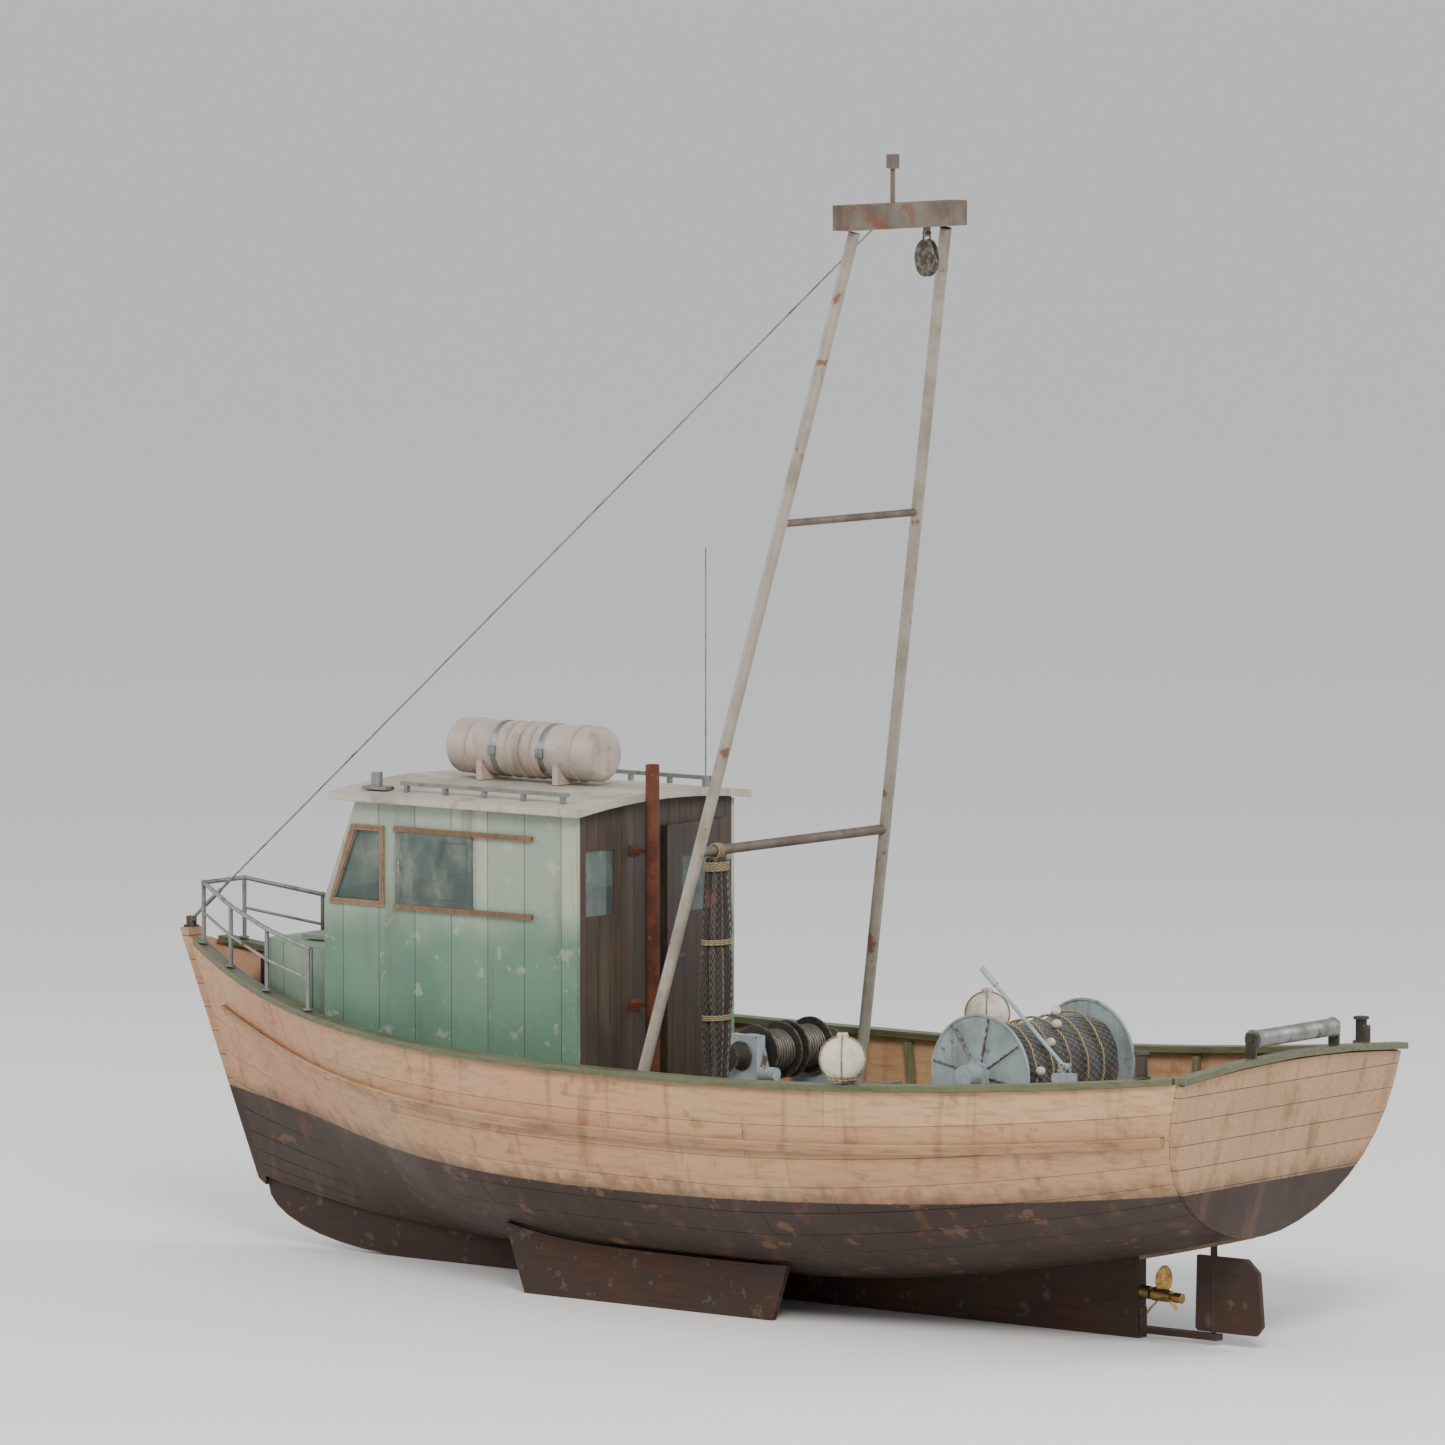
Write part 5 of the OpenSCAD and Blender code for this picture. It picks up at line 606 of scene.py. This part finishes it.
# A spiral sheet: the radius grows by a pitch each turn, plus the bulge, and drops at the edges
def makeRoll(s, centre):
    turn = np.linspace(0, 2 * np.pi * s["turns"], s["turns"] * s["perTurn"] + 1)[:, None]
    across = np.linspace(-0.5, 0.5, s["across"]) * s["width"]
    radius = (s["inner"] + s["pitch"] * turn / 2 / np.pi + bulge(turn, across)
              - s["edgeDrop"] * np.abs(across / (s["width"] / 2)) ** s["edgePower"])
    def around(r, along):
        return centre + np.stack([r * np.cos(turn), along + 0 * turn, r * np.sin(turn)], -1)
    points = np.concatenate([around(radius, across), around(radius - s["cloth"], across)[:, ::-1]], 1)
    gone = np.concatenate([[0], np.cumsum(np.hypot(np.diff(turn[:, 0]) * radius.mean(1)[1:], 0))])
    both = np.concatenate([across, across[::-1]])
    uv = np.stack(np.broadcast_arrays(gone[:, None], both[None]), -1).reshape(-1, 2)
    roll = makePiece("net_roll", [tubeSolid(points)], "netTwine", "drum", uvs=uv, smooth=60)
    return roll, float(gone[-1])

# A rope wound over the roll in a swaying spiral, with floats at even steps along it
def makeHeadRope(s, centre):
    turn = np.linspace(s["start"], s["start"] + 2 * np.pi * s["turns"], s["points"])
    along = np.linspace(s["from"], s["to"], s["points"]) + s["sway"] * np.sin(s["swayTurns"] * turn)
    outer = wound["inner"] + wound["pitch"] * (wound["turns"] - s["depth"]) + bulge(turn, along) + s["lift"]
    path = np.stack([centre[0] + outer * np.cos(turn), centre[1] + along, centre[2] + outer * np.sin(turn)], -1)
    solid, uv = ropeAlong(path, s["radius"], sides=8)
    rope = makePiece("net_head_rope", [solid], "rope", "drum", uvs=uv, smooth=80)
    seats = np.linspace(s["firstFloat"], s["lastFloat"], s["floats"]).astype(int)
    grow = (path[seats] - centre) * (1, 0, 1)
    grow = grow / np.linalg.norm(grow, axis=1, keepdims=True) * s["floatLift"]
    eggs = [egg(place, s["floatSize"]) for place in path[seats] + grow]
    return [rope, makePiece("net_head_floats", eggs, "chalkyWhite", "drum", smooth=50)]

def makeNetDrum():
    low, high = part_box("net_drum")
    centre = np.array((low + high) / 2)
    spoolPiece = makeSpool(spool, centre)
    roll, length = makeRoll(wound, centre)
    onRoll = makeHeadRope(headRope, centre)
    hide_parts("net_drum")

makeNetDrum()

# The net hung from the gantry's lower beam

hung = {"length": 1.50, "folds": 9, "cloth": 0.009, "narrow": 0.34, "rows": 60, "perFold": 14,
        "halfWidths": (0.100, 0.130), "topGap": 0.004, "hemGap": 0.01, "hemWave": 0.006,
        "swellFrom": 0.12, "swellTurn": 150, "swellPower": 0.8, "pinches": ((0.36, 0.16), (0.68, 0.14)),
        "pinchWidth": 0.03, "mean": 0.80, "foldDepth": 0.16}
lashing = {"bands": ((0.035, 0.012, 5), (0.36, 0.010, 3), (0.68, 0.010, 3)), "reachShare": 0.4, "perTurn": 40,
           "pitch": 0.012, "rope": 0.006, "hitches": (-0.026, -0.009, 0.009, 0.026), "hitchRadius": 0.0405,
           "hitchDrop": 0.052, "hitchRise": 0.040, "beamAbove": 0.044}

# A rosette of folds (radius = mean + depth * cosine of folds * angle) carried down, swelling like a sine, its
# folds drifting
def makeHungNet(s):
    low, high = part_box("hung_net")
    x, y = (low.x + high.x) / 2, (low.y + high.y) / 2
    t = np.linspace(0, 1, s["rows"])[:, None]
    a = np.linspace(0, 2 * np.pi, s["folds"] * s["perFold"], endpoint=False)[None]
    arch = np.sin(np.minimum(1, s["swellFrom"] + t) * np.radians(s["swellTurn"])) ** s["swellPower"]
    share = s["narrow"] + (1 - s["narrow"]) * arch
    pinch = 1
    for level, depth in s["pinches"]:
        pinch = pinch - depth * np.exp(-((t - level) / s["pinchWidth"]) ** 2)
    drift = 0.9 * np.sin(2.6 * t) + 0.35 * np.sin(7 * t + 2 * a)
    folds = np.cos(s["folds"] * a + drift)
    swing = s["mean"] + s["foldDepth"] * folds + 0.03 * np.sin(3 * a + 9 * t) + 0.02 * np.sin(4 * a - 13 * t)
    share = share * pinch * swing
    def shell(less):
        wide, deep = (half * share - less for half in s["halfWidths"])
        down = (s["length"] - s["hemGap"]) * (t + s["hemWave"] * folds * t)
        return np.stack([x + wide * np.cos(a), y + deep * np.sin(a), high.z - s["topGap"] - down + 0 * a], -1)
    outer, inner = shell(0.0), shell(s["cloth"])
    around = np.concatenate([[0], np.cumsum(np.linalg.norm(np.diff(outer[s["rows"] // 2], axis=0), axis=1))])
    down = np.concatenate([t[:, 0], t[::-1, 0]]) * s["length"]
    uv = np.stack(np.broadcast_arrays(around[None], down[:, None]), -1).reshape(-1, 2)
    bundle = makePiece("hung_net_folds", [ringSolid(np.concatenate([outer, inner[::-1]]))], "hungTwine", "hull",
                       uvs=uv, smooth=70)
    girths = np.linalg.norm(np.roll(outer, -1, 1) - outer, axis=2).sum(1)
    ties = makeLashings(lashing, outer, np.array([x, y, high.z]))
    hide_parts("hung_net")

# Oval helices round the net at a few levels, and turns of rope over the beam, down to the net's neck
def makeLashings(s, outer, top):
    ropes = []
    for level, reach, turns in s["bands"]:
        row = int(level * (len(outer) - 1))
        wide = np.abs(outer[row] - outer[row].mean(0))[:, :2].max(0) + reach * s["reachShare"]
        turn = np.linspace(0, 2 * np.pi * turns, s["perTurn"] * turns)
        height = outer[row, 0, 2] + s["pitch"] * turn / 2 / np.pi - s["pitch"] / 2 * turns
        path = np.stack([top[0] + wide[0] * np.cos(turn), top[1] + wide[1] * np.sin(turn), height], -1)
        ropes.append(ropeAlong(path, s["rope"], sides=8))
    turn = np.linspace(0, 2 * np.pi, 48, endpoint=False)
    for shift in s["hitches"]:
        drop = np.where(np.sin(turn) < 0, s["hitchDrop"], s["hitchRise"])
        path = np.stack([top[0] + s["hitchRadius"] * np.cos(turn), top[1] + shift + 0 * turn,
                         top[2] + s["beamAbove"] + drop * np.sin(turn)], -1)
        ropes.append(ropeAlong(path, s["rope"], closed=True, sides=8))
    return makePiece("hung_net_lashings", [solid for solid, _ in ropes], "rope", "hull",
                     uvs=np.concatenate([lay for _, lay in ropes]), smooth=80)

makeHungNet(hung)
print("nets made")

# Wire on the winch

winch = {"core": 0.0765, "outer": 0.140, "wire": 0.0145, "half": 0.1165, "middle": 0.165, "points": 129,
         "edge": 0.004, "sharpness": 0.6}

# Wire laid on each drum: the radius ripples with |cos| of the turns counted along the axis plus the angle, a helix
def makeWarps(s):
    low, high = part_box("winch_drums")
    centre = np.array((low + high) / 2)
    centre[1] = 0.0
    along = np.linspace(-s["half"], s["half"], s["points"])
    profile = [(s["core"], -s["half"])] + [(s["outer"] - s["wire"] / 2, a) for a in along] + [(s["core"], s["half"])]
    def lay(turn, place, radius):
        count = place / s["wire"] + turn / 2 / np.pi
        edge = np.clip((s["half"] - np.abs(place)) / s["edge"], 0, 1)
        wave = s["wire"] / 2 * np.abs(np.cos(np.pi * count)) ** s["sharpness"] * edge
        return np.where(radius > s["core"], wave, 0.0)
    solids = [axisTurned(profile, centre + (0, side * s["middle"], 0), 1, 96, lay) for side in (-1, 1)]
    uv = np.concatenate([(p[:, 1:] - centre[1:]) for p, _ in solids])
    makePiece("warp_wire_packs", solids, "wire", "winch", uvs=uv, smooth=50)

makeWarps(winch)

# Floats on the rails

railFloats = {"places": ((-2.080, 1), (-1.150, -1)), "radius": 0.140, "capWidth": 0.120, "capThick": 0.040,
              "capOut": 0.030, "capGap": 0.002, "seat": 0.005, "lift": 0.012, "pole": 0.24, "points": 46,
              "seamRise": 0.005, "seamWidth": 0.035,
              "lowBoss": [(0.012, -0.150), (0.030, -0.150), (0.036, -0.146)],  # radius, height from the middle
              "highBoss": [(0.036, 0.160), (0.030, 0.166), (0.012, 0.166)],
              "rope": 0.007, "netRope": 0.8, "netReach": 0.7, "netAngles": (0.6, 0.6 + np.pi / 2),
              "topKnot": 0.018, "topFrom": 0.97, "coil": 0.094, "coilLevels": (-0.122, -0.108)}

def railTop(x, side, s):  # the cap rail's top at x, a little inboard of the sheer
    u = np.array((x + hull["length"] / 2 + hull["headShift"]) / hull["length"])
    top = hullPoint(u, 1.0)
    return np.array([x, side * (top[1] - s["capWidth"] / 2 + s["capOut"]),
                     top[2] + s["capGap"] + s["capThick"] + s["seat"]])

# Moulded shell: a circle's radius with a raised seam at the waist and a drilled boss at each pole, turned about Z
def makeRailFloats(s):
    fall = np.linspace(s["pole"], np.pi - s["pole"], s["points"])
    radius = s["radius"] * np.sin(fall) + s["seamRise"] * np.exp(-((fall - np.pi / 2) / s["seamWidth"]) ** 2)
    profile = s["lowBoss"] + list(zip(radius, -s["radius"] * np.cos(fall))) + s["highBoss"]
    turn = np.linspace(0, 2 * np.pi, 72, endpoint=False)
    swell = np.where(np.abs(np.sin(turn)) > s["topFrom"], s["topKnot"], 0.0)[:, None] * (np.sin(turn) > 0)[:, None]
    reach = s["radius"] + s["rope"] * s["netReach"]
    shells, ropes = [], []
    for x, side in s["places"]:
        centre = railTop(x, side, s) + (0, 0, s["radius"] + s["lift"])
        shells.append(axisTurned(profile, centre, 2, 64))
        for angle in s["netAngles"]:
            flat = np.stack([np.cos(turn) * np.cos(angle), np.cos(turn) * np.sin(angle), np.sin(turn)], -1)
            ropes.append(ropeAlong(centre + flat * (reach + swell), s["rope"] * s["netRope"], closed=True, sides=8))
        for level in s["coilLevels"]:
            flat = np.stack([s["coil"] * np.cos(turn), s["coil"] * np.sin(turn), level + 0 * turn], -1)
            ropes.append(ropeAlong(centre + flat, s["rope"], closed=True, sides=8))
    balls = makePiece("rail_floats", shells, "chalkyWhite", "hull", smooth=30)
    makePiece("float_lashings", [solid for solid, _ in ropes], "rope", "hull",
              uvs=np.concatenate([lay for _, lay in ropes]), smooth=80)
    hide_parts("floats")

makeRailFloats(railFloats)

# Straps and mouldings round the liferaft canister

canister = {"radius": 0.180, "sunk": 0.003, "shoulder": 0.6, "soft": 0.002,
            "straps": (-0.20, 0.20), "strapWidth": 0.045, "strapThick": 0.004,
            "buckleLow": (-0.03, 0.176, -0.03), "buckleHigh": (0.03, 0.192, 0.03),
            "ribs": ((-0.44, 0.020, 0.007), (-0.10, 0.020, 0.007), (0.10, 0.020, 0.007), (0.44, 0.020, 0.007),
                     (0.0, 0.030, 0.009))}  # place along it, width, thickness

# Hoops turned about the canister's own axis, with a block for each buckle
def makeCanisterStraps(s):
    low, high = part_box("liferaft")
    middle = np.array([(low.x + high.x) / 2, (low.y + high.y) / 2, high.z - s["radius"]])
    def hoop(place, width, thick):
        r, w = s["radius"], width / 2
        half = [(r - s["sunk"], w), (r + thick * s["shoulder"], w), (r + thick, w - s["soft"])]
        return axisTurned(mirrored(half), middle + (place, 0, 0), 0, 96)
    straps = [hoop(place, s["strapWidth"], s["strapThick"]) for place in s["straps"]]
    buckles = [boxSolid(middle + (place, 0, 0) + s["buckleLow"], middle + (place, 0, 0) + s["buckleHigh"])
               for place in s["straps"]]
    makePiece("canister_straps", straps + buckles, "galvanised", "hull")
    makePiece("canister_mouldings", [hoop(*rib) for rib in s["ribs"]], "canisterShell", "hull")

makeCanisterStraps(canister)
print("gear made")

# Floor

ground = {"half": 1500, "drop": 0.002, "colour": (0.80, 0.79, 0.77), "rough": 0.9}

def makeFloor(s):
    data = bpy.data.meshes.new("floor")
    r, z = s["half"], -s["drop"]
    data.from_pydata([(-r, -r, z), (r, -r, z), (r, r, z), (-r, r, z)], [], [(0, 1, 2, 3)])
    floor = bpy.data.objects.new("floor", data)
    bpy.context.scene.collection.objects.link(floor)
    material = bpy.data.materials.new("paleFloor")
    material.use_nodes = True
    shader = material.node_tree.nodes["Principled BSDF"]
    shader.inputs["Base Color"].default_value = (*s["colour"], 1)
    shader.inputs["Roughness"].default_value = s["rough"]
    data.materials.append(material)

makeFloor(ground)
bpy.context.view_layer.update()
